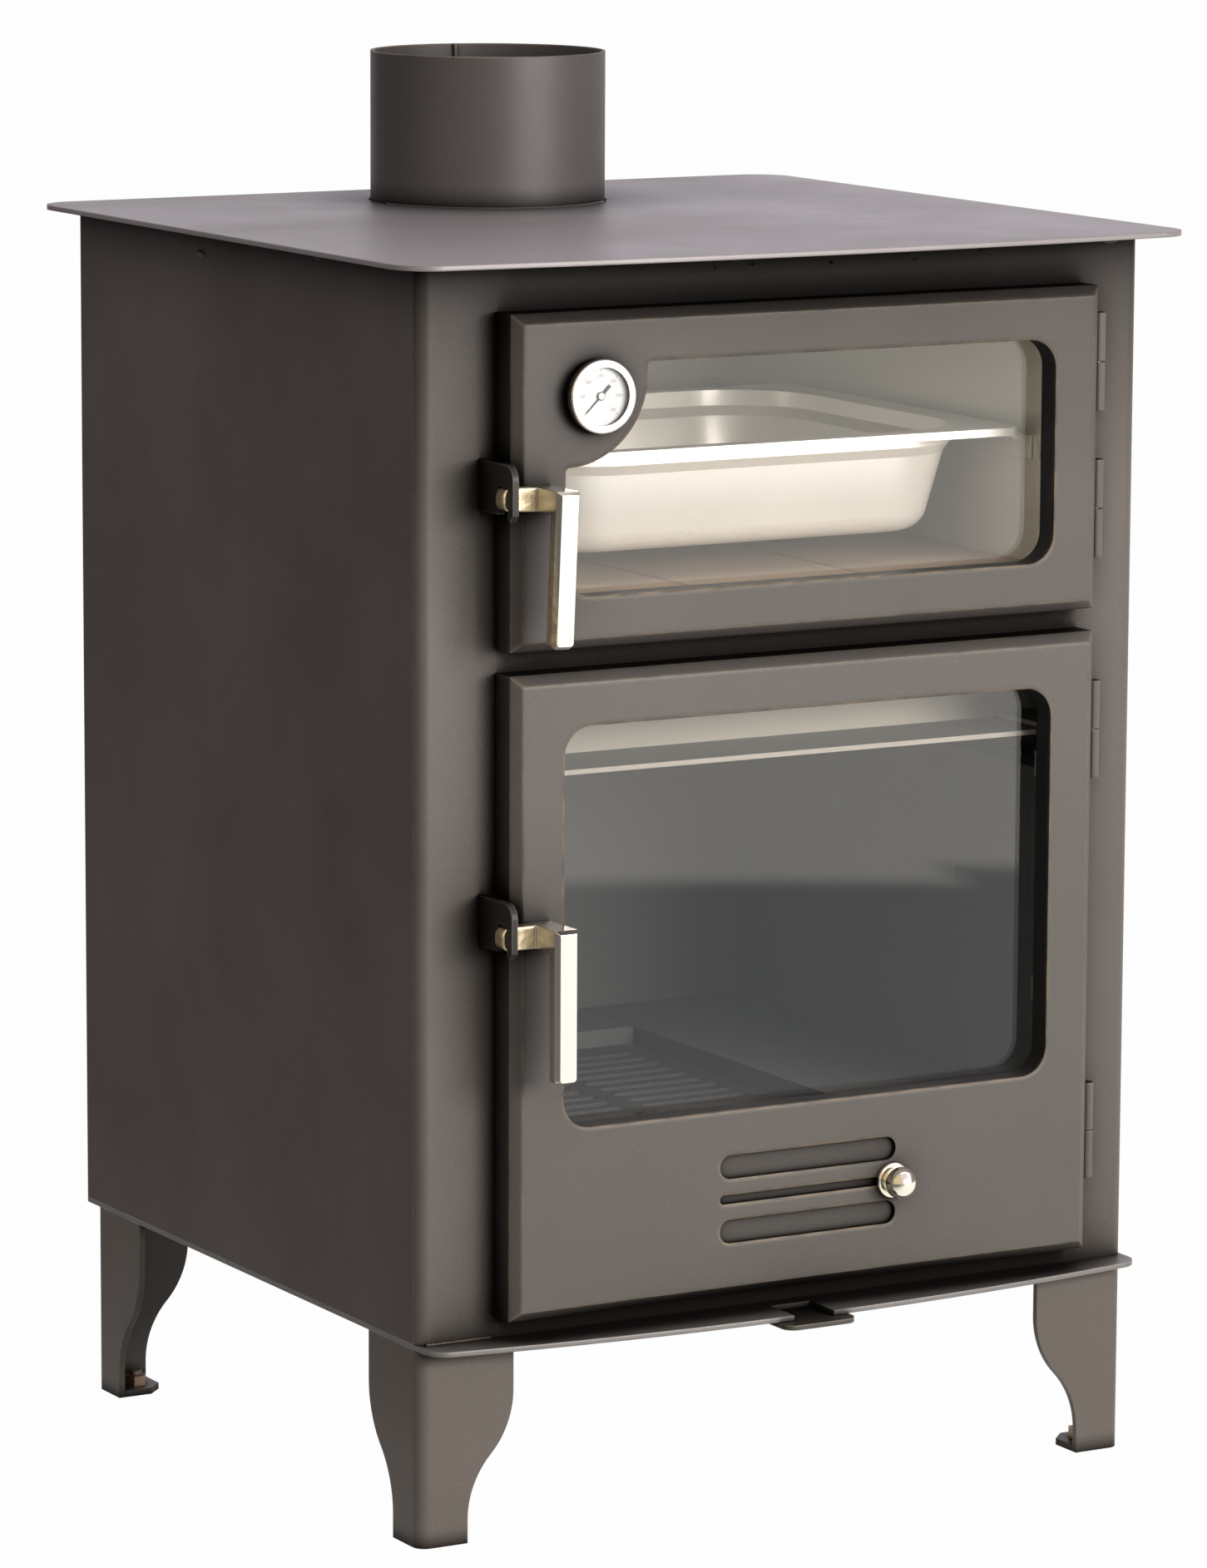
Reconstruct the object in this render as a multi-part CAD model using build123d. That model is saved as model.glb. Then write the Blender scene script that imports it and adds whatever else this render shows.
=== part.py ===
from build123d import *
import os
from math import acos, cos, radians, sin, tan

# Wood stove with a glazed oven above a glazed firebox.
# +X is the viewer's right, the front faces -Y and the floor is at z 0. All sizes are in mm.
# Pieces are built with y 0 on the front panel's outer face, then moved so that the
# whole stove is centred on the origin.

os.makedirs("parts", exist_ok=True)

# Body
BODY_WIDTH = 500.0
BODY_DEPTH = 455.0
BODY_HEIGHT = 640.0
SHEET = 3.0
BEND_RADIUS = 8.0
LEG_HEIGHT = 121.0

# Top plate and bottom plate, both with a bowed front edge
TOP_THICKNESS = 3.0
TOP_SIDE_OVERHANG = 22.0
TOP_REAR_OVERHANG = 22.0
TOP_FRONT_OVERHANG = 27.0
TOP_BOW = 15.0
TOP_CORNER = 25.0
BOTTOM_THICKNESS = 3.0
LIP_REACH = 18.0
LIP_BOW = 21.0
LIP_CORNER = 14.0
NOTCH_WIDTH = 28.0
NOTCH_DEPTH = 28.0

# Flue collar
FLUE_DIAMETER = 150.0
FLUE_WALL = 2.0
COLLAR_HEIGHT = 95.0
COLLAR_STUB = 6.0
FLUE_FROM_REAR = 80.0
FLUE_HOLE_GAP = 1.0

# Legs
LEG_SHEET = 4.0
LEG_TOP_WIDTH = 64.0
LEG_FOOT_WIDTH = 33.0
LEG_STRAIGHT = 30.0
LEG_OGEE_RADIUS = 55.0
LEG_REAR_INSET = 12.0
FOOT_THICKNESS = 4.0
FOOT_WELD_GAP = 0.2
FOOT_CUT = 10.0
BOLT_DIAMETER = 8.0
NUT_WIDTH = 13.0
NUT_HEIGHT = 6.5
BOLT_PROUD = 3.0

# Doors
DOOR_FROM_LEFT = 50.5
DOOR_FROM_RIGHT = 42.5
DOOR_DEPTH = 24.0
DOOR_SHEET = 2.5
DOOR_BEVEL = 6.0
DOOR_GAP = 1.0
SEAL_OVERLAP = 21.5
FIRE_DOOR_BASE = 13.0
BETWEEN_DOORS = 14.0
OVEN_DOOR_HEIGHT = 198.0
OVEN_DOOR_FROM_TOP = 28.0

# Windows
WINDOW_FROM_SIDES = 33.5
WINDOW_CORNER = 18.0
OVEN_WINDOW_FROM_EDGE = 30.75
FIRE_WINDOW_FROM_TOP = 31.7
FIRE_WINDOW_FROM_BASE = 114.3
SCALLOP_RADIUS = 53.0
SCALLOP_INSET_X = 2.0
SCALLOP_INSET_Z = 7.0
SCALLOP_FILLET = 3.0
COLLAR_WALL = 2.0
GLASS_SETBACK = 16.5
GLASS_THICKNESS = 4.0
GLASS_LAP = 6.0
GASKET_THICKNESS = 1.0
FLANGE_BELOW_WINDOW = 17.0

# Rope seal
ROPE_WIDTH = 10.0
ROPE_CORNER = 14.0
CHANNEL_WALL = 1.5
CHANNEL_DEPTH = 10.0
CHANNEL_INSET = 1.0
CHANNEL_CORNER = 4.0
ROPE_GAP = 0.3
ROPE_ROUNDING = 2.5

# Glass clips
CLIP_WIDTH = 16.0
CLIP_THICKNESS = 1.5
CLIP_TONGUE = 4.0
CLIP_GAP = 0.4
CLIP_COLUMN = 100.0
CLIP_ROW = 70.0
SCREW_RADIUS = 1.5
SCREW_CLEARANCE = 0.1
SCREW_HEAD = 5.0
SCREW_HEAD_HEIGHT = 2.4
SCREW_PAST_FLANGE = 2.0

# Hinges
BARREL_RADIUS = 5.0
BARREL_LENGTH = 60.0
BARREL_SPLIT = 0.5
HINGE_SIDE_GAP = 0.5
HINGE_STANDOFF = 10.0
PIN_RADIUS = 3.0
PIN_CLEARANCE = 0.05
PIN_REACH = 26.0
PIN_HEADROOM = 0.5
LEAF_WIDTH = 8.0
LEAF_OFFSET = 2.0
OVEN_HINGE_LOW = 60.5
OVEN_HINGE_HIGH = 150.5
FIRE_HINGE_LOW = 73.0
FIRE_HINGE_HIGH = 325.0

# Handles and catches
HANDLE_INSET = 16.0
OVEN_HANDLE_HEIGHT = 91.2
FIRE_HANDLE_HEIGHT = 234.5
OVEN_HANDLE_LEAN = 2.2
HUB_WIDTH = 15.0
HUB_HEIGHT = 14.0
HUB_CLEARANCE = 0.3
ARM_LENGTH = 30.0
ARM_THICKNESS = 9.0
ARM_FROM_DOOR = 2.0
ARM_TIP_RADIUS = 5.5
ARM_EDGE = 0.8
HANDLE_REACH = 37.0
GRIP_DEPTH = 9.0
GRIP_LENGTH = 92.0
GRIP_TIP_RADIUS = 4.0
GRIP_CHAMFER_SIDE = 2.0
GRIP_CHAMFER_FRONT = 3.5
SPINDLE_RADIUS = 4.0
SPINDLE_CLEARANCE = 0.08
WASHER_RADIUS = 7.0
WASHER_THICKNESS = 1.6
WASHER_GAP = 0.2
CATCH_FROM_DOOR = 7.5
CATCH_THICKNESS = 4.0
CATCH_REACH = 42.0
CATCH_ABOVE = 21.5
CATCH_BELOW = 8.5
CATCH_CORNER = 9.0
CATCH_TIP = 4.0
CATCH_TIP_RISE = 2.0
PRONG_WIDTH = 6.0
PRONG_DROP = 3.0
SLOT_CLEARANCE = 1.5
SLOT_HEADROOM = 1.5

# Air control in the fire door
VENT_LENGTH = 124.0
VENT_HEIGHT = 14.4
UPPER_VENT_Z = 79.6
LOWER_VENT_Z = 40.0
KNOB_SLOT_HEIGHT = 5.4
SLIDE_THICKNESS = 2.0
SLIDE_CLEARANCE = 0.3
SLIDE_LAP = 4.0
SLIDE_TRAVEL = 118.0
GUIDE_LAP = 4.0
GUIDE_WALL = 2.0
GUIDE_FOOT = 8.0
KNOB_STEM_RADIUS = 2.4
KNOB_RADIUS = 9.8
KNOB_FLANGE_RADIUS = 11.0
KNOB_FLANGE_THICKNESS = 3.0
KNOB_FLANGE_ROUNDING = 1.2
KNOB_NECK_RADIUS = 4.0
KNOB_NECK_LENGTH = 5.0
KNOB_REACH = 20.0

# Sliding air plate under the bottom plate
TAB_WIDTH = 50.0
TAB_REACH = 50.0
TAB_THICKNESS = 3.0
TAB_CORNER = 8.0
TAB_LENGTH = 215.0
TAB_TRAVEL = 50.0
AIR_HOLE_WIDTH = 30.0
AIR_HOLE_LENGTH = 44.0
AIR_HOLE_START = 50.0
RAIL_LAP = 7.0
RAIL_WIDTH = 16.0
RAIL_WALL = 2.0
RAIL_CLEARANCE = 0.3
RAIL_FRONT = 6.0
RAIL_PAST_PLATE = 4.0

# Oven interior
LINER_WALL = 2.5
OVEN_BACK_GAP = 59.5
BRICK_THICKNESS = 25.0
BRICK_PROUD = 4.5
BRICK_JOINT = 1.0
BRICK_EDGE = 1.0
BED_GAP = 0.2
OVEN_BRICKS = 3
PAN_SIDE_GAP = 5.0
PAN_REAR_GAP = 87.0
PAN_HEIGHT = 65.0
PAN_WALL = 1.0
PAN_RIM_SIDES = 21.5
PAN_RIM_ENDS = 11.5
PAN_RIM_DROP = 5.0
PAN_RIM_CORNER = 14.0
PAN_CORNER = 58.0
PAN_SHOULDER = 10.0
PAN_SHOULDER_FALL = 6.0
PAN_SHOULDER_STEP = 4.5
PAN_TAPER = 18.0
PAN_BASE_FILLET = 16.0
PAN_FROM_FRONT = 20.0
PAN_ABOVE_FLOOR = 18.0
RUNNER_WALL = 2.0
RUNNER_DROP = 15.0
RUNNER_LAP = 9.0
RUNNER_END_GAP = 6.0

# Firebox interior
FIREBOX_FLOOR = 97.0
HEARTH_THICKNESS = 3.0
GRATE_WIDTH = 200.0
GRATE_DEPTH = 260.0
GRATE_THICKNESS = 14.0
GRATE_LEDGE = 10.0
GRATE_SLOTS = 12
GRATE_SLOT_WIDTH = 9.0
GRATE_SIDE_FRAME = 15.0
GRATE_END_FRAME = 20.0
GRATE_SPINE = 12.0
GRATE_CLEARANCE = 2.0
LINING_HEIGHT = 230.0
LINING_GAP = 1.0
LINING_BRICKS = 3
ASH_SIDE_GAP = 97.0
ASH_REAR_GAP = 62.0
ASH_HEIGHT = 30.0
ASH_WALL = 1.5
ASH_LIP_WIDTH = 100.0
ASH_LIP_REACH = 8.0
ASH_LIP_THICKNESS = 2.0
ASH_SILL_CLEARANCE = 2.0
ASH_FROM_FRONT = 10.0
ASH_RUNNER_WIDTH = 20.0
ASH_RUNNER_WALL = 2.5
DEFLECTOR_DROP = 44.0
DEFLECTOR_DEPTH = 58.0
DEFLECTOR_SHEET = 3.0
DEFLECTOR_BEND = 4.0
AIR_SLIT = 3.0

# Oven thermometer
GAUGE_FROM_LEFT = 53.5
GAUGE_HEIGHT = 149.0
GAUGE_RADIUS = 21.9
GAUGE_REACH = 10.0
GAUGE_BEZEL = 3.2
BEZEL_THICKNESS = 2.0
BEZEL_DEPTH = 4.5
BEZEL_ROUNDING = 1.5
LENS_CLEARANCE = 0.1
GAUGE_CASE_WALL = 1.0
DIAL_THICKNESS = 0.6
DIAL_RECESS = 5.0
LENS_THICKNESS = 1.2
STEM_RADIUS = 3.0
STEM_LENGTH = 62.0
STEM_NUT_WIDTH = 12.0
STEM_NUT_HEIGHT = 4.0
NEEDLE_LENGTH = 14.0
NEEDLE_TAIL = 6.0
NEEDLE_WIDTH = 1.0
NEEDLE_TIP_WIDTH = 0.4
NEEDLE_TAIL_WIDTH = 1.8
NEEDLE_THICKNESS = 0.5
NEEDLE_HUB_RADIUS = 1.6
NEEDLE_GAP = 0.4
NEEDLE_POST_RADIUS = 0.7
NEEDLE_POST_PROUD = 0.2
NEEDLE_REST_ANGLE = 225.0

# How far a cut runs past the face that it opens
PAST = 1.0

# Worked-out levels and edges
BODY_BASE = LEG_HEIGHT + BOTTOM_THICKNESS
BODY_TOP = BODY_BASE + BODY_HEIGHT
HALF_WIDTH = BODY_WIDTH / 2
DOOR_LEFT = -HALF_WIDTH + DOOR_FROM_LEFT
DOOR_RIGHT = HALF_WIDTH - DOOR_FROM_RIGHT
DOOR_WIDTH = DOOR_RIGHT - DOOR_LEFT
DOOR_OFFSET = (DOOR_LEFT + DOOR_RIGHT) / 2
DOOR_BACK = -DOOR_GAP
DOOR_FRONT = -DOOR_DEPTH
PANEL_INNER = DOOR_FRONT + DOOR_SHEET
FIRE_BASE = BODY_BASE + FIRE_DOOR_BASE
OVEN_TOP = BODY_TOP - OVEN_DOOR_FROM_TOP
OVEN_BASE = OVEN_TOP - OVEN_DOOR_HEIGHT
FIRE_TOP = OVEN_BASE - BETWEEN_DOORS
FIRE_DOOR_HEIGHT = FIRE_TOP - FIRE_BASE
WINDOW_WIDTH = DOOR_WIDTH - 2 * WINDOW_FROM_SIDES
OVEN_WINDOW_HEIGHT = OVEN_DOOR_HEIGHT - 2 * OVEN_WINDOW_FROM_EDGE
FIRE_WINDOW_HEIGHT = FIRE_DOOR_HEIGHT - FIRE_WINDOW_FROM_TOP - FIRE_WINDOW_FROM_BASE
OPENING_LEFT = DOOR_LEFT + SEAL_OVERLAP
OPENING_RIGHT = DOOR_RIGHT - SEAL_OVERLAP
OVEN_REAR = BODY_DEPTH - SHEET - LINER_WALL - OVEN_BACK_GAP
PAN_WIDTH = OPENING_RIGHT - OPENING_LEFT - 2 * PAN_SIDE_GAP
PAN_DEPTH = OVEN_REAR - PAN_REAR_GAP - PAN_FROM_FRONT
ASH_WIDTH = BODY_WIDTH - 2 * SHEET - 2 * ASH_SIDE_GAP
ASH_REAR = BODY_DEPTH - SHEET - ASH_REAR_GAP
FLUE_Y = BODY_DEPTH - FLUE_FROM_REAR
HANDLE_FRONT = DOOR_FRONT - HANDLE_REACH
Y_CENTRE = (BODY_DEPTH + TOP_REAR_OVERHANG + HANDLE_FRONT) / 2
GLASS_FRONT = DOOR_FRONT + GLASS_SETBACK
FLANGE_BACK = GLASS_FRONT - GASKET_THICKNESS
HINGE_X = DOOR_RIGHT + BARREL_RADIUS + HINGE_SIDE_GAP
HINGE_Y = -HINGE_STANDOFF
HANDLE_X = DOOR_LEFT + HANDLE_INSET
ROPE_INSET = DOOR_SHEET + CHANNEL_INSET
CHANNEL_EDGE = ROPE_INSET + ROPE_WIDTH + 2 * CHANNEL_WALL
FIREBOX_REAR = BODY_DEPTH - SHEET
LEAST_MARGIN = min(WINDOW_FROM_SIDES, OVEN_WINDOW_FROM_EDGE, FIRE_WINDOW_FROM_TOP)
CLIP_REACH = LEAST_MARGIN - GLASS_LAP - CHANNEL_EDGE - CLIP_GAP


def save(name, shape):
    """Move a piece to the stove's own frame and write it."""
    export_step(Pos(0, -Y_CENTRE, 0) * shape, os.path.join("parts", name + ".step"))


def block(x0, x1, y0, y1, z0, z1):
    """A box between two corners."""
    middle = Pos((x0 + x1) / 2, (y0 + y1) / 2, (z0 + z1) / 2)
    return middle * Box(x1 - x0, y1 - y0, z1 - z0)


def flat(outline, z0, z1):
    """A plate with an outline drawn in plan."""
    return extrude(Pos(0, 0, z0) * outline, amount=z1 - z0)


def upright(outline, y_front, y_back):
    """A plate with an outline drawn as seen from the front, in x and z."""
    plane = Plane(origin=(0, y_back, 0), x_dir=(1, 0, 0), z_dir=(0, -1, 0))
    return extrude(plane * outline, amount=y_back - y_front)


def sideways(outline, x0, x1):
    """A plate with an outline drawn as seen from the right side, in y and z."""
    plane = Plane(origin=(x0, 0, 0), x_dir=(0, 1, 0), z_dir=(1, 0, 0))
    return extrude(plane * outline, amount=x1 - x0)


def rod_y(x, z, radius, y_front, y_back):
    """A round bar along y."""
    return upright(Pos(x, z) * Circle(radius), y_front, y_back)


def rod_z(x, y, radius, z0, z1):
    """A round bar along z."""
    return flat(Pos(x, y) * Circle(radius), z0, z1)


def hexagon(width):
    """A hexagon measured across its flats."""
    return RegularPolygon(width / 2, 6, major_radius=False)


def group(solids):
    """Separate solids that share one node."""
    return Compound(children=list(solids))


def bowed_outline(left, right, rear, front, bow, corner, rear_corner):
    """A plate in plan whose front edge bows forward between its two ends."""
    middle = (left + right) / 2
    front_edge = ThreePointArc((left, front), (middle, front - bow), (right, front))
    sides = Polyline((right, front), (right, rear), (left, rear), (left, front))
    outline = make_face(front_edge + sides)
    corners = outline.vertices().sort_by(Axis.Y)
    outline = fillet(corners[:2], corner)
    if rear_corner > 0:
        outline = fillet(outline.vertices().sort_by(Axis.Y)[-2:], rear_corner)
    return outline


# Casing
def front_opening(base, height):
    """The doorway behind a door, smaller all round than the door that seals on it."""
    low = base + SEAL_OVERLAP
    high = base + height - SEAL_OVERLAP
    return block(OPENING_LEFT, OPENING_RIGHT, -PAST, SHEET + PAST, low, high)


def make_front_panel():
    """The front sheet, with both side edges folded back round the bend radius."""
    outer = Rectangle(BODY_WIDTH, 4 * BEND_RADIUS)
    outer = fillet(outer.vertices(), BEND_RADIUS)
    inner = Rectangle(BODY_WIDTH - 2 * SHEET, 4 * BEND_RADIUS - 2 * SHEET)
    inner = fillet(inner.vertices(), BEND_RADIUS - SHEET)
    section = Pos(0, 2 * BEND_RADIUS) * (outer - inner)
    panel = flat(section, BODY_BASE, BODY_TOP)
    panel = panel - block(-BODY_WIDTH, BODY_WIDTH, BEND_RADIUS, BODY_DEPTH, 0, 2 * BODY_TOP)
    panel = panel - front_opening(FIRE_BASE, FIRE_DOOR_HEIGHT)
    return panel - front_opening(OVEN_BASE, OVEN_DOOR_HEIGHT)


def make_side_panel(side):
    """A side sheet from the front panel's fold to the back; side is -1 left or 1 right."""
    inner = side * (HALF_WIDTH - SHEET)
    outer = side * HALF_WIDTH
    return block(min(inner, outer), max(inner, outer), BEND_RADIUS, BODY_DEPTH, BODY_BASE, BODY_TOP)


def make_back_panel():
    """The back sheet, set between the side sheets."""
    reach = HALF_WIDTH - SHEET
    return block(-reach, reach, BODY_DEPTH - SHEET, BODY_DEPTH, BODY_BASE, BODY_TOP)


def make_top_plate():
    """The hob: an overhanging plate with a bowed front and the flue hole."""
    edge = HALF_WIDTH + TOP_SIDE_OVERHANG
    rear = BODY_DEPTH + TOP_REAR_OVERHANG
    outline = bowed_outline(-edge, edge, rear, -TOP_FRONT_OVERHANG, TOP_BOW, TOP_CORNER, TOP_CORNER)
    outline = outline - Pos(0, FLUE_Y) * Circle(FLUE_DIAMETER / 2 + FLUE_HOLE_GAP)
    return flat(outline, BODY_TOP, BODY_TOP + TOP_THICKNESS)


def make_bottom_plate():
    """The base sheet, whose bowed lip has a thumb notch over the sliding air plate's tab."""
    outline = bowed_outline(-HALF_WIDTH, HALF_WIDTH, BODY_DEPTH, -LIP_REACH, LIP_BOW, LIP_CORNER, 0)
    crown = LIP_REACH + LIP_BOW
    outline = outline - Pos(0, -crown) * Rectangle(NOTCH_WIDTH, 2 * NOTCH_DEPTH)
    outline = outline - air_hole(AIR_HOLE_START)
    return flat(outline, LEG_HEIGHT, BODY_BASE)


def air_hole(start):
    """The round-ended air hole in plan, beginning a distance behind the front face."""
    hole = SlotOverall(AIR_HOLE_LENGTH, AIR_HOLE_WIDTH, rotation=90)
    return Pos(0, start + AIR_HOLE_LENGTH / 2) * hole


def make_flue_collar():
    """The open steel tube that takes the stovepipe, passed through the hob and welded."""
    ring = Circle(FLUE_DIAMETER / 2) - Circle(FLUE_DIAMETER / 2 - FLUE_WALL)
    top = BODY_TOP + TOP_THICKNESS + COLLAR_HEIGHT
    return flat(Pos(0, FLUE_Y) * ring, BODY_TOP - COLLAR_STUB, top)


# Legs
def leg_wing():
    """One flange of a leg as seen square on, from its outer edge at 0 towards +x."""
    drop = LEG_TOP_WIDTH - LEG_FOOT_WIDTH
    turn = LEG_OGEE_RADIUS
    half = drop / 2
    sweep = acos(1 - half / turn)
    z1 = LEG_HEIGHT - LEG_STRAIGHT
    z2 = z1 - turn * sin(sweep)
    z3 = z2 - turn * sin(sweep)
    side_step = turn * (1 - cos(sweep / 2))
    drop_step = turn * sin(sweep / 2)
    upper_mid = (LEG_TOP_WIDTH - side_step, z1 - drop_step)
    lower_mid = (LEG_FOOT_WIDTH + side_step, z3 + drop_step)
    edges = Polyline((LEG_FOOT_WIDTH, z3), (LEG_FOOT_WIDTH, 0), (0, 0), (0, LEG_HEIGHT),
                     (LEG_TOP_WIDTH, LEG_HEIGHT), (LEG_TOP_WIDTH, z1))
    upper = ThreePointArc((LEG_TOP_WIDTH, z1), upper_mid, (LEG_TOP_WIDTH - half, z2))
    lower = ThreePointArc((LEG_TOP_WIDTH - half, z2), lower_mid, (LEG_FOOT_WIDTH, z3))
    return make_face(edges + upper + lower)


def make_leg(side, back):
    """An L-folded leg under one corner; side is -1 left or 1 right, back is False at the front."""
    outer = Rectangle(2 * LEG_TOP_WIDTH, 2 * LEG_TOP_WIDTH)
    outer = fillet(outer.vertices(), BEND_RADIUS)
    reach = LEG_TOP_WIDTH - LEG_SHEET
    inner = Rectangle(2 * reach, 2 * reach)
    inner = fillet(inner.vertices(), BEND_RADIUS - LEG_SHEET)
    angle = flat(outer - inner, 0, LEG_HEIGHT)
    angle = angle & block(-LEG_TOP_WIDTH, 0, -LEG_TOP_WIDTH, 0, 0, LEG_HEIGHT)
    angle = Pos(LEG_TOP_WIDTH, LEG_TOP_WIDTH, 0) * angle
    front_wing = upright(leg_wing(), -PAST, LEG_TOP_WIDTH)
    side_wing = sideways(leg_wing(), -PAST, LEG_TOP_WIDTH)
    leg = angle & front_wing & side_wing
    if back:
        leg = mirror(leg, about=Plane.XZ)
        leg = Pos(-HALF_WIDTH, BODY_DEPTH - LEG_REAR_INSET, 0) * leg
    else:
        leg = Pos(-HALF_WIDTH, 0, 0) * leg
    if side > 0:
        leg = mirror(leg, about=Plane.YZ)
    return leg


def corner_places():
    """The four inner corners of the legs, as x, y and the directions towards the stove's middle."""
    rear = BODY_DEPTH - LEG_REAR_INSET
    reach = HALF_WIDTH
    return ((-reach, 0, 1, 1), (reach, 0, -1, 1), (-reach, rear, 1, -1), (reach, rear, -1, -1))


def foot_centre(corner):
    """Where the foot bolt stands inside a leg."""
    x, y, to_x, to_y = corner
    middle = (LEG_SHEET + LEG_FOOT_WIDTH) / 2
    return x + to_x * middle, y + to_y * middle


def make_foot_plates():
    """A tab welded inside the foot of each leg, its free corner cut off."""
    feet = []
    size = LEG_FOOT_WIDTH - LEG_SHEET - FOOT_WELD_GAP
    for corner in corner_places():
        x, y, to_x, to_y = corner
        tab = Rectangle(size, size)
        inward = Axis((0, 0, 0), (to_x, to_y, 0))
        tab = chamfer(tab.vertices().sort_by(inward)[-1], FOOT_CUT)
        tab = chamfer(tab.vertices().sort_by(inward)[0], BEND_RADIUS - LEG_SHEET)
        inset = LEG_SHEET + FOOT_WELD_GAP + size / 2
        middle = Pos(x + to_x * inset, y + to_y * inset)
        bolt = foot_centre(corner)
        plate = middle * tab - Pos(*bolt) * Circle(BOLT_DIAMETER / 2)
        feet.append(flat(plate, 0, FOOT_THICKNESS))
    return group(feet)


def make_foot_bolts():
    """The stud and nut that stand on each foot tab, ending flush with its underside."""
    bolts = []
    for corner in corner_places():
        x, y = foot_centre(corner)
        nut = flat(Pos(x, y) * hexagon(NUT_WIDTH), FOOT_THICKNESS, FOOT_THICKNESS + NUT_HEIGHT)
        stud = rod_z(x, y, BOLT_DIAMETER / 2, 0, FOOT_THICKNESS + NUT_HEIGHT + BOLT_PROUD)
        bolts.append(nut + stud)
    return group(bolts)


# Doors
def make_door_panel(base, height):
    """A sheet pan with mitred bevels round its front edge, open at the back."""
    middle = base + height / 2
    outer = upright(Pos(DOOR_OFFSET, middle) * Rectangle(DOOR_WIDTH, height), DOOR_FRONT, DOOR_BACK)
    outer = chamfer(outer.faces().sort_by(Axis.Y)[0].edges(), DOOR_BEVEL)
    shrink = 2 * DOOR_SHEET
    inner_bevel = DOOR_BEVEL - DOOR_SHEET * tan(radians(22.5))
    hollow = Pos(DOOR_OFFSET, middle) * Rectangle(DOOR_WIDTH - shrink, height - shrink)
    inner = upright(hollow, PANEL_INNER, PAST)
    inner = chamfer(inner.faces().sort_by(Axis.Y)[0].edges(), inner_bevel)
    return outer - inner


def window(height, centre_z, grow, scalloped):
    """The rounded window outline; the oven's has a corner scooped out round the thermometer."""
    outline = RectangleRounded(WINDOW_WIDTH + 2 * grow, height + 2 * grow, WINDOW_CORNER + grow)
    if scalloped:
        x = -WINDOW_WIDTH / 2 + SCALLOP_INSET_X
        z = height / 2 - SCALLOP_INSET_Z
        outline = outline - Pos(x, z) * Circle(SCALLOP_RADIUS - grow)
        outline = outline.faces().sort_by(SortBy.AREA)[-1]
        tips = outline.vertices().sort_by_distance((x, z, 0))[:2]
        outline = fillet(tips, SCALLOP_FILLET)
    return Pos(DOOR_OFFSET, centre_z) * outline


def ring_outline(base, height, inset, corner):
    """A rounded outline that runs inside the door's edge."""
    middle = base + height / 2
    return Pos(DOOR_OFFSET, middle) * RectangleRounded(DOOR_WIDTH - 2 * inset, height - 2 * inset, corner)


def rope_ring(base, height):
    """The rope's outline, between the channel's two walls."""
    outer = ROPE_INSET + CHANNEL_WALL
    ring = ring_outline(base, height, outer, ROPE_CORNER - CHANNEL_WALL)
    return ring - ring_outline(base, height, outer + ROPE_WIDTH, CHANNEL_CORNER + CHANNEL_WALL)


def make_channel(base, height):
    """The U-shaped channel that holds the rope seal, open towards the stove."""
    back = DOOR_BACK - CHANNEL_WALL
    front = back - CHANNEL_DEPTH
    ring = ring_outline(base, height, ROPE_INSET, ROPE_CORNER)
    ring = ring - ring_outline(base, height, CHANNEL_EDGE, CHANNEL_CORNER)
    channel = upright(ring, front, back)
    return channel - upright(rope_ring(base, height), front + CHANNEL_WALL, back + PAST)


def make_rope(base, height):
    """The glass-fibre rope pressed in the channel, standing out to seal on the front panel."""
    rope = upright(rope_ring(base, height), DOOR_BACK - CHANNEL_DEPTH, -ROPE_GAP)
    rear_edges = rope.faces().sort_by(Axis.Y)[-1].edges()
    return chamfer(rear_edges, ROPE_ROUNDING)


def make_collar(base, height, window_height, window_z, scalloped, lower_edge):
    """The deep frame from the door's face back to the glass, with a flange out to the channel."""
    wall = window(window_height, window_z, COLLAR_WALL, scalloped)
    sleeve = upright(wall, PANEL_INNER, FLANGE_BACK)
    plate = ring_outline(base, height, CHANNEL_EDGE, CHANNEL_CORNER)
    flange = upright(plate, FLANGE_BACK - COLLAR_WALL, FLANGE_BACK)
    flange = flange & block(DOOR_LEFT, DOOR_RIGHT, DOOR_FRONT, 0, lower_edge, base + height)
    body = sleeve + flange
    return body - upright(window(window_height, window_z, 0, scalloped), DOOR_FRONT, PAST)


def make_gasket(window_height, window_z, scalloped):
    """The thin white tape between the frame's flange and the glass."""
    outer = window(window_height, window_z, GLASS_LAP, scalloped)
    inner = window(window_height, window_z, COLLAR_WALL / 2, scalloped)
    return upright(outer - inner, FLANGE_BACK, GLASS_FRONT)


def make_glass(window_height, window_z, scalloped):
    """The ceramic glass pane, lapping behind the window all round."""
    pane = window(window_height, window_z, GLASS_LAP, scalloped)
    return upright(pane, GLASS_FRONT, GLASS_FRONT + GLASS_THICKNESS)


def clip_places(window_height, window_z, columns_above, rows):
    """Where clips hold the glass: x, z and the direction from the glass out to the flange."""
    places = []
    out_z = window_height / 2 + GLASS_LAP
    out_x = WINDOW_WIDTH / 2 + GLASS_LAP
    for x in (-CLIP_COLUMN, CLIP_COLUMN):
        places.append((DOOR_OFFSET + x, window_z - out_z, 0, -1))
    for x in columns_above:
        places.append((DOOR_OFFSET + x, window_z + out_z, 0, 1))
    for z in rows:
        places.append((DOOR_OFFSET + out_x, window_z + z, 1, 0))
        places.append((DOOR_OFFSET - out_x, window_z + z, -1, 0))
    return places


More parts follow.
